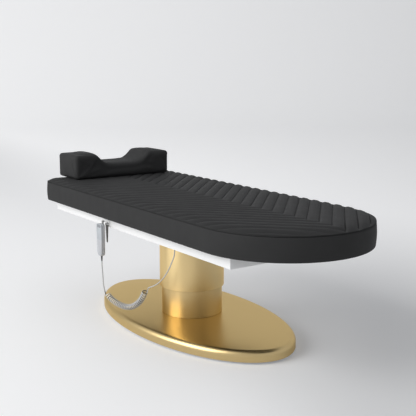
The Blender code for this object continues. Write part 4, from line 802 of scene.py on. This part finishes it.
def pad_top_height(x, y, size):
    """The top's height: a rounded rise from its rolled edge to the crown, less the ribs' shape.

    A rib is one minus a high power of the distance from its middle, so it is flat with round
    shoulders, and the stitches pull a narrow parabola out of each groove. Ribs grow deeper and
    rounder in an S towards the edge, and a groove takes its share of the height above the seam.
    """
    inwards = pad_inwards(x, y, size)
    share = np.clip(inwards / (size.crown_edge - size.top_roll), 0.0, 1.0)
    across = rib_place(x, y, size)
    stitch = np.clip((1.0 - across) * size.rib_pitch / 2 / size.groove_width, 0.0, 1.0)
    puffed = ease(1.0 - inwards / size.puff_reach)
    depth = size.rib_depth + (size.edge_rib_depth - size.rib_depth) * puffed
    fullness = size.rib_fullness + (size.edge_fullness - size.rib_fullness) * puffed
    groove = depth * across**fullness + size.groove_depth * (1.0 - stitch) ** 2
    full_rise = size.crown_height - size.seam_gape
    rise = full_rise * (1.0 - (1.0 - share) ** size.crown_power)
    taken = groove * rise / (groove + rise + 1e-6) * (1.0 + groove / size.crown_height)
    return PAD_HIGH.z - size.crown_height + size.seam_gape + rise - np.minimum(taken, rise)


def band_section(size):
    """From the top's edge down: over into the seam, out again, down the band and folded under.

    Both rolls are quarter ellipses that meet the seam, and the band stands out a little half
    way up in one arch of a sine.
    """
    seam_z = PAD_HIGH.z - size.crown_height
    roll, gape, tuck = size.top_roll, size.seam_gape, size.seam_tuck
    ledge = gape * LEDGE
    over = np.linspace(0.0, math.pi / 2, 6)[1:]
    into = np.linspace(0.0, 1.0, 4)[1:]
    down = np.linspace(0.0, 1.0, 13)[1:-1]
    under = np.linspace(0.0, math.pi / 2, 6)
    band_top, low, fold = seam_z - gape, PAD_LOW.z, size.band_fold
    inset = np.concatenate([
        roll * (1 - np.sin(over)),
        tuck * into**1.5,
        tuck * (1 - into) ** 1.5,
        np.zeros(len(down)),
        fold * (1 - np.cos(under)),
        [fold + size.cover_lap],
    ])
    height = np.concatenate([
        seam_z + ledge + (gape - ledge) * np.cos(over),
        seam_z + ledge * (1 - into),
        seam_z - ledge * into,
        seam_z - ledge - down * (seam_z - ledge - low - fold),
        low + fold * (1 - np.sin(under)),
        [low],
    ])
    arch = np.sin(np.clip((height - low) / (band_top - low), 0.0, 1.0) * math.pi)
    return inset + size.band_fullness * (1.0 - arch), height


def swollen(piece, cap, held, quality):
    """Lets a closed cover swell under slight pressure, as leather does over foam.

    Points in the held mask stay where the stitches hold them, and none moves beyond the cap.
    The quality is how many times Cloth is solved for each frame, and most of its time.
    """
    scene, mesh = bpy.context.scene, piece.data
    before = places(mesh)
    group = piece.vertex_groups.new(name="held")
    group.add(np.flatnonzero(held).tolist(), 1.0, "REPLACE")
    cloth = piece.modifiers.new("swell", "CLOTH")
    cloth.settings.quality = quality
    cloth.settings.vertex_group_mass = group.name
    cloth.settings.use_pressure = True
    cloth.settings.uniform_pressure_force = CLOTH_PRESSURE
    cloth.settings.effector_weights.gravity = 0.0
    cloth.collision_settings.use_collision = False
    cloth.point_cache.frame_start, cloth.point_cache.frame_end = 1, CLOTH_FRAMES
    for moment in range(1, CLOTH_FRAMES + 1):
        scene.frame_set(moment)
    moved = piece.evaluated_get(bpy.context.evaluated_depsgraph_get()).to_mesh()
    step = places(moved) - before
    piece.modifiers.remove(cloth)
    piece.vertex_groups.remove(group)
    far = np.linalg.norm(step, axis=1, keepdims=True)
    mean, most = far.mean() / MM, far.max() / MM
    print(f"{piece.name}: cloth moved {mean:.1f} mm, at most {most:.1f} mm")
    step *= np.minimum(1.0, cap / np.maximum(far, 1e-9))
    mesh.vertices.foreach_set("co", (before + step).ravel())
    mesh.update()
    scene.frame_set(1)


def build_pad(size):
    """Rows of points follow the V of the channels; the ends and the long edges have their own.

    The top ends in a rolled edge above the seam, and the band goes on from there.
    """
    roll = size.top_roll
    edge_turns = np.linspace(0.0, math.pi / 2, 21)
    edge = roll + (size.crown_edge - roll) * (1.0 - np.cos(edge_turns))
    middle = np.linspace(0.0, HALF_WIDTH - size.crown_edge, 33)
    half = np.concatenate([middle, HALF_WIDTH - edge[::-1][1:]])
    y = np.concatenate([-half[::-1], half[1:]])
    head, foot = pad_ends(y, size.corner_radius, roll)
    slope = size.rib_slope
    reach = FOOT_ARC_X + HALF_WIDTH * math.hypot(1.0, slope) - PAD_LOW.x
    shares = np.concatenate([RIB_ROWS, 1.0 - RIB_ROWS[:0:-1]])
    ribs = np.arange(-1, math.ceil(reach / size.rib_pitch))
    rows = (ribs[:, None] + shares[None, :]).ravel() * size.rib_pitch
    apex = PAD_LOW.x + size.first_groove + rows
    x = apex[:, None] - slope * np.abs(y)[None, :]
    x = np.clip(x, head[None, :], foot[None, :])
    x = np.vstack([head[None, :], x, foot[None, :]])
    across = np.broadcast_to(y[None, :], x.shape)
    top = np.stack([x, across, pad_top_height(x, across, size)], -1)

    rim = np.concatenate([top[:-1, 0], top[-1, :-1], top[:0:-1, -1], top[0, :0:-1]])
    rim = rim[np.linalg.norm(rim - np.roll(rim, 1, 0), axis=1) > 0.3 * MM]
    out = pad_outward(rim[:, 0], rim[:, 1], size.corner_radius)
    edge_plan = rim[:, :2] + out * roll
    rings = [rim]
    for inset, height in zip(*band_section(size)):
        rings.append(at_height(edge_plan - out * inset, height))
    count = len(rim)
    faces = grid_faces(*x.shape).tolist()
    band_faces = grid_faces(len(rings), count, False, True).tolist()
    band_faces.append(list(range((len(rings) - 1) * count, len(rings) * count)))
    faces += [[corner + x.size for corner in face] for face in band_faces]
    points = np.vstack([top.reshape(-1, 3), np.vstack(rings)])
    piece = new_piece(
        "quilted_pad", (points, faces), embossed_synthetic_leather, "platform",
        ["mattress"], sharp=80.0, weld=0.25 * MM,
    )
    x, y, z = places(piece.data).T
    above_seam = z - (PAD_HIGH.z - size.crown_height)
    near_seam = SEAM_REACH * size.seam_gape
    held = (above_seam > near_seam) & (rib_place(x, y, size) > STITCHED)
    held |= np.abs(above_seam) < near_seam
    held |= z < PAD_LOW.z + size.band_fold
    swollen(piece, size.swell, held, 1)


def neck_dip(y, size):
    """The hollow's depth times one less a fourth power, raised again to 1.2, then evened out.

    Evening out is a mean over a window as wide as the cover's bend, which rounds the shoulders.
    """
    fine = np.linspace(-0.5, 0.5, 2001)
    t = (size.neck_half_width + size.flank_width - np.abs(fine)) / size.flank_width
    dip = size.neck_depth * (1.0 - (1.0 - np.clip(t, 0.0, 1.0)) ** 4) ** 1.2
    window = np.hanning(max(3, int(size.shoulder_round / 0.0005)))
    return np.interp(y, fine, np.convolve(dip, window / window.sum(), mode="same"))


def build_pillow(size):
    """Rounded sections lofted from side to side, lowered in the hollow and crowned on top.

    The crown is a parabola both along and across each section, nothing at the edges.
    """
    low, high = PILLOW_LOW, PILLOW_HIGH
    half_width = (high.y - low.y) / 2
    radius = size.edge_radius
    turns = np.linspace(0.0, math.pi / 2, 9)
    ends = half_width - radius * (1 - np.sin(turns))
    shrink = radius * (1 - np.cos(turns))
    inner = np.linspace(-(half_width - radius), half_width - radius, 95)[1:-1]
    y = np.concatenate([-ends[::-1], inner, ends])
    inset = np.concatenate([shrink[::-1], np.zeros(len(inner)), shrink])
    rings = []
    for place, gap, fall in zip(y, inset, neck_dip(y, size)):
        corners = rectangle(low.x + gap, low.z + gap, high.x - gap, high.z - gap - fall)
        rings.append(standing_at(denser(filleted(corners, radius - gap * 0.98, 8), 96), place))
    points = np.stack(rings)
    along = (points[..., 0] - low.x) / (high.x - low.x)
    above = np.clip((points[..., 2] - low.z) / (high.z - low.z), 0.0, 1.0)
    aside = 1.0 - (np.abs(points[..., 1]) / half_width) ** 4
    points[..., 2] += size.crown * 4 * along * (1 - along) * above**2 * aside
    count = points.shape[1]
    faces = grid_faces(len(rings), count, False, True).tolist()
    faces += [list(range(count)), list(range((len(rings) - 1) * count, len(rings) * count))]
    piece = new_piece(
        "neck_pillow", (points, faces), embossed_synthetic_leather, "pillow",
        ["pillow"], sharp=50.0,
    )
    swollen(piece, size.swell, places(piece.data)[:, 2] < low.z + radius / 2, 4)


# Control box, handset, hanger and cord

def rounded_copies(*rows):
    """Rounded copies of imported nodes, each row a node, a radius in mm and perhaps a finish."""
    for node, radius, *finish in rows:
        rounded_copy(node, radius * MM, *finish)


def build_control_box():
    """The box under the frame with both its sockets."""
    rounded_copies(("control_box", 2.5), ("handset_socket", 0.5), ("mains_inlet", 0.5))


def build_handset():
    """The handset's own pieces, in the order in which it is put together."""
    rounded_copies(
        ("handset_body", 1.2),
        ("handset_fascia", 0.7, film_on_grey_abs),
        ("handset_indicator", 0.3),
        ("button_up", 0.5, rubbery_grey_key),
        ("button_down", 0.5, rubbery_grey_key),
        ("handset_clip", 0.6, mid_grey_abs),
        ("handset_strain_relief", 0.5),
    )


def build_hanger():
    """The bent tab on the rail, its screws and the tongue that the clip slides over."""
    rounded_copies(
        ("handset_hanger", 0.5),
        ("hanger_screw_1", 0.4),
        ("hanger_screw_2", 0.4),
        ("hanger_tongue", 0.8, mid_grey_abs),
    )


def smooth_route(points):
    """A centripetal Catmull-Rom curve through the points, with its arc length at each sample."""
    p = np.array(points, float)
    p = np.vstack([2 * p[0] - p[1], p, 2 * p[-1] - p[-2]])
    pieces = []
    for a, b, c, d in zip(p, p[1:], p[2:], p[3:]):
        knots = [0.0]
        for u, v in ((a, b), (b, c), (c, d)):
            knots.append(knots[-1] + math.sqrt(np.linalg.norm(v - u)))
        t0, t1, t2, t3 = knots
        t = np.linspace(t1, t2, ROUTE_SAMPLES, endpoint=False)[:, None]
        ab = a + (b - a) * (t - t0) / (t1 - t0)
        bc = b + (c - b) * (t - t1) / (t2 - t1)
        cd = c + (d - c) * (t - t2) / (t3 - t2)
        abc = ab + (bc - ab) * (t - t0) / (t2 - t0)
        bcd = bc + (cd - bc) * (t - t1) / (t3 - t1)
        pieces.append(abc + (bcd - abc) * (t - t1) / (t2 - t1))
    curve = np.vstack(pieces + [p[-2][None, :]])
    steps = np.linalg.norm(np.diff(curve, axis=0), axis=1)
    return curve, np.concatenate([[0.0], np.cumsum(steps)])


def along_route(curve, length, at):
    """Points of a curve at distances along it."""
    return np.stack([np.interp(at, length, curve[:, axis]) for axis in range(3)], axis=1)


def cord_centreline(size):
    """The cord runs beside a smooth route in its curl, and on the route away from that.

    Within the curl its distance from the route is half the curl's width less half its own, and
    its turning starts and stops in an S over one turn. Outside, the distance falls to nothing in
    an S over the run-in. Cosine and sine of the turning set the level and the upward part.
    """
    rail_face, underside = FRAME_LOW.y, FRAME_LOW.z
    curve, length = smooth_route(
        [(HANDSET_X + x, rail_face + y, underside + z) for x, y, z in CORD_ROUTE]
    )
    start = length[CURL_START_INDEX * ROUTE_SAMPLES]
    end = length[CURL_END_INDEX * ROUTE_SAMPLES]
    at = np.concatenate([
        np.arange(0.0, start, LEAD_STEP),
        np.linspace(start, end, CURL_TURNS * POINTS_PER_CURL + 1)[:-1],
        np.arange(length[-1], end - LEAD_STEP / 2, -LEAD_STEP)[::-1],
    ])
    table = np.linspace(0.0, 1.0, 100 * CURL_TURNS + 1)
    speed = ease(np.minimum(table, 1.0 - table) * CURL_TURNS)
    turned_by = np.concatenate([[0.0], np.cumsum((speed[1:] + speed[:-1]) / 2)])
    angle = math.radians(CURL_ENTRY_ANGLE) + math.tau * CURL_TURNS * turned_by / turned_by[-1]
    angle = np.interp((at - start) / (end - start), table, angle)
    beyond = np.maximum(np.maximum(start - at, at - end), 0.0)
    radius = (size.curl_width - size.diameter) / 2 * ease(1.0 - beyond / size.run_in)
    step = np.gradient(curve, length + np.arange(len(length)) * 1e-9, axis=0)
    tangent = along_route(step, length, at)
    tangent /= np.linalg.norm(tangent, axis=1)[:, None]
    level = np.cross(curve[-1] - curve[0], (0.0, 0.0, 1.0))
    level /= np.linalg.norm(level)
    upwards = np.cross(level, tangent)
    around = np.cos(angle)[:, None] * level + np.sin(angle)[:, None] * upwards
    axis = along_route(curve, length, at)
    return axis + radius[:, None] * around, axis


def mark_inner_side(mesh, path, axis, radius):
    """Marks the mesh's points with painted shade by how far they face the route that the curls run
    round.

    It comes from the point's offset from the cord's middle, measured towards the route and
    divided by the cord's radius, and is even along the leads.
    """
    place = places(mesh)
    tree = KDTree(len(path))
    for index, point in enumerate(path):
        tree.insert(point, index)
    tree.balance()
    nearest = np.array([tree.find(point)[1] for point in place])
    inward = axis[nearest] - path[nearest]
    far = np.linalg.norm(inward, axis=1, keepdims=True)
    towards = ((place - path[nearest]) * inward / np.maximum(far, 1e-6)).sum(1) / radius
    mark = mesh.attributes.new("inner_side", "FLOAT", "POINT")
    # Painted shade: none on the curls' outer ridge, full on their inner side
    shade = ease((towards - SHADE_START) / SHADE_WIDTH)
    shade = np.where(far[:, 0] > radius, shade, LEAD_SHADE)
    mark.data.foreach_set("value", shade.astype(np.float32))


def build_cord(size):
    """A tube along the centreline, from inside the strain relief to the plug."""
    path, axis = cord_centreline(size)
    top = path[0].copy()
    top[2] = RELIEF_LOW.z + size.hidden_length
    path, axis = np.vstack([top, path]), np.vstack([top, axis])
    curve = bpy.data.curves.new("cord_line", "CURVE")
    curve.dimensions = "3D"
    curve.bevel_depth = size.diameter / 2
    curve.bevel_resolution = 3
    curve.use_fill_caps = True
    curve.twist_mode = "MINIMUM"
    spline = curve.splines.new("POLY")
    spline.points.add(len(path) - 1)
    spline.points.foreach_set("co", np.column_stack([path, np.ones(len(path))]).ravel())
    drawn = linked("cord_line", curve)
    bpy.context.view_layer.update()
    graph = bpy.context.evaluated_depsgraph_get()
    mesh = bpy.data.meshes.new_from_object(drawn.evaluated_get(graph))
    bpy.data.objects.remove(drawn, do_unlink=True)
    bm = bmesh.new()
    bm.from_mesh(mesh)
    bmesh.ops.remove_doubles(bm, verts=bm.verts, dist=MM / 100)
    bmesh.ops.recalc_face_normals(bm, faces=bm.faces)
    bm.to_mesh(mesh)
    bm.free()
    mesh.shade_smooth()
    mesh.materials.clear()
    mesh.materials.append(finished(extruded_cord_jacket))
    mark_inner_side(mesh, path, axis, size.diameter / 2)
    cord = linked("handset_cord", mesh)
    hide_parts("cable_upper_lead", "cable_curl", "cable_lower_lead")
    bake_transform(cord)
    dress("handset_plug")


# Floor, light and camera

def seen_directly(tree):
    """One for what is seen directly, mirrored or through glass, and nothing for other light."""
    path = add(tree, "LightPath").outputs
    inputs = {0: path["Is Camera Ray"], 1: path["Is Glossy Ray"]}
    seen = add(tree, "Math", inputs, operation="MAXIMUM").outputs[0]
    inputs = {0: seen, 1: path["Is Transmission Ray"]}
    return add(tree, "Math", inputs, operation="MAXIMUM").outputs[0]


def sweep_paper(size):
    """Seamless paper: it takes shadows, and glows a little where it is seen or mirrored.

    The glow falls from left to right, fanning out from a point in front of the bed, and is
    stronger on the backdrop.
    """
    material, tree, shader = new_material(
        "sweep_paper", Roughness=0.9, Specular_IOR_Level=0.1, Emission_Color=rgba("FFFFFF")
    )
    mottled(tree, shader, linear("E9E9E9"), 0.003, 0.8)
    turn = (0.0, 0.0, -math.radians(size.heading))
    place = add(tree, "Mapping", {"Vector": object_point(tree), "Rotation": turn})
    place = add(tree, "SeparateXYZ", {"Vector": place.outputs[0]}).outputs
    rightwards, away = place["X"], place["Y"]
    ahead = add(tree, "Math", {0: away, 1: size.glow_centre}, operation="ADD").outputs[0]
    spread = add(tree, "Math", {0: ahead, 1: FAN_NEAREST}, operation="MAXIMUM").outputs[0]
    aside = add(tree, "Math", {0: rightwards, 1: spread}, operation="DIVIDE").outputs[0]
    inputs = {"Value": aside, "From Min": 0.0, "From Max": NEAR_FAN}
    inputs |= {"To Min": size.glow_left, "To Max": size.glow_right}
    beside = add(tree, "MapRange", inputs, interpolation_type="SMOOTHSTEP").outputs[0]
    inputs = {"Value": aside, "From Min": -FAR_FAN, "From Max": FAR_FAN}
    inputs |= {"To Min": size.far_glow_left, "To Max": size.far_glow_right}
    behind = add(tree, "MapRange", inputs).outputs[0]
    inputs = {0: rightwards, 1: FAR_SLANT, 2: away}
    beyond = add(tree, "Math", inputs, operation="MULTIPLY_ADD").outputs[0]
    inputs = {"Value": beyond, "From Min": FAR_START, "From Max": FAR_END}
    share = add(tree, "MapRange", inputs, interpolation_type="SMOOTHSTEP").outputs[0]
    glow = add(tree, "Mix", {0: share, 2: beside, 3: behind}, data_type="FLOAT").outputs[0]
    strength = add(tree, "Math", {0: glow, 1: seen_directly(tree)}, operation="MULTIPLY")
    tree.links.new(strength.outputs[0], shader.inputs["Emission Strength"])
    return material


def build_stage(size):
    """A floor that curves up far behind the bed, the world, one broad light and the camera.

    The floor is a line of points, straight and then a quarter circle, carried sideways.
    """
    bend = np.linspace(0.0, math.pi / 2, BEND_ROWS + 1)[1:]
    level = np.linspace(FLOOR_NEAR, FLOOR_FAR, FLOOR_ROWS)
    curved = FLOOR_FAR + SWEEP_RADIUS * np.sin(bend)
    ahead = np.concatenate([level, curved, [FLOOR_FAR + SWEEP_RADIUS]])
    curved = SWEEP_RADIUS - SWEEP_RADIUS * np.cos(bend)
    height = np.concatenate([np.zeros(FLOOR_ROWS), curved, [SWEEP_TOP]])
    aside = np.linspace(-FLOOR_HALF, FLOOR_HALF, FLOOR_COLUMNS)
    turn = math.radians(size.heading)
    x = aside[:, None] * math.cos(turn) - ahead[None, :] * math.sin(turn)
    y = aside[:, None] * math.sin(turn) + ahead[None, :] * math.cos(turn)
    points = np.stack([x, y, np.broadcast_to(height[None, :], x.shape)], -1)
    mesh = bpy.data.meshes.new("studio_floor")
    mesh.from_pydata(points.reshape(-1, 3).tolist(), [], grid_faces(*x.shape)[:, ::-1].tolist())
    mesh.shade_smooth()
    mesh.materials.append(sweep_paper(size))
    floor = linked("studio_floor", mesh)

    world = bpy.data.worlds.new("studio")
    bpy.context.scene.world = world
    world.use_nodes = True
    tree = world.node_tree
    background = tree.nodes["Background"]
    background.inputs["Color"].default_value = rgba("F4F6FA")
    inputs = {"Value": seen_directly(tree), "To Min": size.ambient, "To Max": size.wall}
    strength = add(tree, "MapRange", inputs)
    tree.links.new(strength.outputs[0], background.inputs["Strength"])

    light = bpy.data.lights.new("key_light", "AREA")
    light.shape = "RECTANGLE"
    light.size, light.size_y = KEY_WIDTH, KEY_HEIGHT
    light.energy = size.key_power
    lamp = linked("key_light", light)
    lamp.location = KEY_PLACE
    towards = Vector(KEY_AIM) - lamp.location
    lamp.rotation_euler = towards.to_track_quat("-Z", "Y").to_euler()

    lens = bpy.data.cameras.new("camera")
    lens.lens = size.lens
    lens.sensor_width = SENSOR
    camera = linked("camera", lens)
    camera.location = CAMERA_PLACE
    camera.rotation_euler = (math.radians(90.0 - CAMERA_DOWN), 0.0, turn)
    bpy.context.scene.camera = camera
    bpy.context.scene.view_settings.view_transform = "Standard"


# Sizes and colours that a user may change

def metres(name, description, default):
    """A length that a user may change."""
    return bpy.props.FloatProperty(
        name=name, description=description, default=default, unit="LENGTH"
    )


def number(name, description, default):
    """A plain number that a user may change."""
    return bpy.props.FloatProperty(name=name, description=description, default=default)


def tint(name, description, hex_colour):
    """A colour that a user may change."""
    return bpy.props.FloatVectorProperty(
        name=name, description=description, default=linear(hex_colour), subtype="COLOR",
        min=0.0, max=1.0,
    )


class BaseSizes(bpy.types.PropertyGroup):
    sheet: metres("Sheet", "Thickness of the cover's sheet", 0.002)
    shoulder: metres("Shoulder", "Radius between the band and the top", 0.024)
    hole_radius: metres("Hole", "Radius of the hole under the column", 0.1333)


class ColumnSizes(bpy.types.PropertyGroup):
    sleeve_wall: metres("Sleeve wall", "Thickness of both sleeves", 0.0015)


class FrameSizes(bpy.types.PropertyGroup):
    rail_wall: metres("Wall", "Thickness of the folded sheet", 0.0025)
    rail_depth: metres("Flange", "Depth of the channel", 0.025)
    fold_radius: metres("Fold", "Outer radius of the folds", 0.003)
    cross_width: metres("Cross tube", "Width of the cross tubes", 0.040)


class PadSizes(bpy.types.PropertyGroup):
    corner_radius: metres("Corner", "Radius of the head corners in plan", 0.060)
    crown_height: metres("Crown", "Rise of the top above the seam", 0.0195)
    crown_edge: metres("Edge round", "How far in from the edge the top rounds over", 0.100)
    rib_pitch: metres("Rib pitch", "Distance between sewn channels along the bed", 0.0706)
    rib_slope: number("Rib slope", "How far the V falls back for each metre across", 1.04)
    first_groove: metres("First groove", "The first V's point from the head end", 0.047)
    crown_power: number("Crown power", "How soon the top rises from its edge", 4.0)
    rib_depth: metres("Rib depth", "Height of a rib above its grooves in the middle", 0.003)
    edge_rib_depth: metres("Edge rib depth", "Height of a rib at the pad's edge", 0.011)
    puff_reach: metres("Puff reach", "How far in from the edge the ribs are deeper", 0.120)
    rib_fullness: number("Fullness", "How square the ribs are, 2 for a plain arch", 3.2)
    edge_fullness: number("Edge fullness", "How square the ribs are at the pad's edge", 2.2)
    groove_width: metres("Groove", "Half width of the sewn groove", 0.0035)
    groove_depth: metres("Stitch depth", "How far the stitches pull in", 0.003)
    top_roll: metres("Top roll", "Width of the top's rolled edge above the seam", 0.004)
    seam_gape: metres("Seam gape", "How far above the seam the top's edge rolls over", 0.004)
    seam_tuck: metres("Seam tuck", "How far the seam lies inside the band", 0.006)
    band_fold: metres("Band fold", "Radius of the band's fold at its foot", 0.004)
    band_fullness: metres("Band fullness", "How far the band stands out half way up", 0.003)
    cover_lap: metres("Lap", "Width of the cover folded under", 0.008)
    swell: metres("Swell", "How far the cover may swell between its seams", 0.004)


class PillowSizes(bpy.types.PropertyGroup):
    edge_radius: metres("Edge", "Radius of the pillow's edges", 0.018)
    neck_depth: metres("Neck depth", "Depth of the hollow", 0.0545)
    neck_half_width: metres("Neck", "Half width of the hollow's flat", 0.020)
    flank_width: metres("Flank", "Width of the hollow's slopes", 0.137)
    shoulder_round: metres("Shoulder", "How wide the hollow's shoulders are rounded", 0.050)
    crown: metres("Crown", "Rise of the top between its edges", 0.004)
    swell: metres("Swell", "How far the cover may swell", 0.003)


class CordSizes(bpy.types.PropertyGroup):
    diameter: metres("Diameter", "Diameter of the cord", 0.0050)
    curl_width: metres("Curl", "Outside width of the curls", 0.028)
    run_in: metres("Run-in", "How far from the curls the cord leaves their width", 0.030)
    hidden_length: metres("Hidden", "Length inside the strain relief", 0.015)


class FinishColours(bpy.types.PropertyGroup):
    base_gold: tint("Base", "Gilding of the oval cover", "CEB684")
    upper_gold: tint("Upper sleeve", "Gilding of the upper sleeve", "E8CE98")
    # A darker copy of the upper sleeve's gilding, painted as shade on the lower sleeve
    lower_gold: tint("Lower sleeve", "Gilding of the lower sleeve", "D7BE8C")
    leather: tint("Leather", "Cover of the pad and the pillow", "383838")
    paint: tint("Paint", "Powder coat of the frame", "FBFBFA")
    handset: tint("Handset", "Housing of the handset", "C6C9CC")
    cord: tint("Cord", "Jacket of the cord", "F2F2F0")


class StageSettings(bpy.types.PropertyGroup):
    heading: number("Heading", "Which way the camera looks, in degrees from Y", 55.33)
    lens: number("Lens", "Focal length in millimetres", 67.31)
    key_power: bpy.props.FloatProperty(
        name="Key", description="Power of the key light", default=480.0, unit="POWER"
    )
    ambient: number("Ambient", "Strength of the world", 0.5)
    wall: number("Wall", "Strength of the world as seen", 0.72)
    glow_left: number("Left glow", "Light that the floor adds at the left", 0.20)
    glow_right: number("Right glow", "Light that the floor adds at the right", 0.02)
    far_glow_left: number("Far left glow", "Light that the backdrop adds at the left", 0.44)
    far_glow_right: number("Far right glow", "Light that the backdrop adds at the right", 0.26)
    glow_centre: metres("Glow centre", "How far before the bed the glow fans out from", 3.54)


SETTINGS = {
    "base": BaseSizes,
    "column": ColumnSizes,
    "frame": FrameSizes,
    "pad": PadSizes,
    "pillow": PillowSizes,
    "cord": CordSizes,
    "finish": FinishColours,
    "stage": StageSettings,
}


# Operators, one for each piece or group of like pieces

class BED_OT_stage(bpy.types.Operator):
    """Floor, backdrop, lights, world and camera"""

    bl_idname = "treatment_bed.stage"
    bl_label = "Stage"

    def execute(self, context):
        build_stage(context.scene.bed_stage)
        return {"FINISHED"}


class BED_OT_cord(bpy.types.Operator):
    """Curly cord from the handset to the control box"""

    bl_idname = "treatment_bed.cord"
    bl_label = "Handset cord"

    def execute(self, context):
        build_cord(context.scene.bed_cord)
        return {"FINISHED"}


class BED_OT_base(bpy.types.Operator):
    """Oval cover with its plate and feet"""

    bl_idname = "treatment_bed.base"
    bl_label = "Oval base"

    def execute(self, context):
        build_base(context.scene.bed_base)
        return {"FINISHED"}


class BED_OT_column(bpy.types.Operator):
    """Both sleeves and the wiper between them"""

    bl_idname = "treatment_bed.column"
    bl_label = "Column sleeves"

    def execute(self, context):
        build_column(context.scene.bed_column)
        return {"FINISHED"}


class BED_OT_drive(bpy.types.Operator):
    """Guide posts and linear actuator inside the column"""

    bl_idname = "treatment_bed.drive"
    bl_label = "Lift drive"

    def execute(self, context):
        build_drive()
        return {"FINISHED"}


class BED_OT_frame(bpy.types.Operator):
    """Folded channel frame with its cross tubes and carrier"""

    bl_idname = "treatment_bed.frame"
    bl_label = "Frame"

    def execute(self, context):
        build_frame(context.scene.bed_frame)
        return {"FINISHED"}


class BED_OT_pad(bpy.types.Operator):
    """Quilted pad"""

    bl_idname = "treatment_bed.pad"
    bl_label = "Quilted pad"

    def execute(self, context):
        build_pad(context.scene.bed_pad)
        return {"FINISHED"}


class BED_OT_pillow(bpy.types.Operator):
    """Pillow with a neck hollow"""

    bl_idname = "treatment_bed.pillow"
    bl_label = "Neck pillow"

    def execute(self, context):
        build_pillow(context.scene.bed_pillow)
        return {"FINISHED"}


class BED_OT_control_box(bpy.types.Operator):
    """Control box, socket and mains inlet"""

    bl_idname = "treatment_bed.control_box"
    bl_label = "Control box"

    def execute(self, context):
        build_control_box()
        return {"FINISHED"}


class BED_OT_handset(bpy.types.Operator):
    """Handset with its buttons, clip and strain relief"""

    bl_idname = "treatment_bed.handset"
    bl_label = "Handset"

    def execute(self, context):
        build_handset()
        return {"FINISHED"}


class BED_OT_hanger(bpy.types.Operator):
    """Hanger on the near rail with its tongue and screws"""

    bl_idname = "treatment_bed.hanger"
    bl_label = "Handset hanger"

    def execute(self, context):
        build_hanger()
        return {"FINISHED"}


OPERATORS = (
    BED_OT_stage,
    BED_OT_cord,
    BED_OT_base,
    BED_OT_column,
    BED_OT_drive,
    BED_OT_frame,
    BED_OT_pad,
    BED_OT_pillow,
    BED_OT_control_box,
    BED_OT_handset,
    BED_OT_hanger,
)


class BED_PT_panel(bpy.types.Panel):
    """Lists the bed's pieces and the sizes that can be changed"""

    bl_label = "Treatment bed"
    bl_idname = "BED_PT_panel"
    bl_space_type = "VIEW_3D"
    bl_region_type = "UI"
    bl_category = "Treatment bed"

    def draw(self, context):
        for operator in OPERATORS:
            self.layout.operator(operator.bl_idname)
        for name, group in SETTINGS.items():
            for key in group.__annotations__:
                self.layout.prop(getattr(context.scene, f"bed_{name}"), key)


def register():
    """Makes the settings, operators and panel known, and gives the scene its settings."""
    for kind in (*SETTINGS.values(), *OPERATORS, BED_PT_panel):
        bpy.utils.register_class(kind)
    for name, group in SETTINGS.items():
        setattr(bpy.types.Scene, f"bed_{name}", bpy.props.PointerProperty(type=group))


def unregister():
    """Takes all of that away again."""
    for name in SETTINGS:
        delattr(bpy.types.Scene, f"bed_{name}")
    for kind in (BED_PT_panel, *OPERATORS, *SETTINGS.values()):
        bpy.utils.unregister_class(kind)


def main():
    """Builds the stage and every piece."""
    for item in [o for o in bpy.data.objects if o.type in ("CAMERA", "LIGHT")]:
        bpy.data.objects.remove(item, do_unlink=True)
    register()
    for operator in OPERATORS:
        group, name = operator.bl_idname.split(".")
        getattr(getattr(bpy.ops, group), name)()


if __name__ == "__main__":
    main()
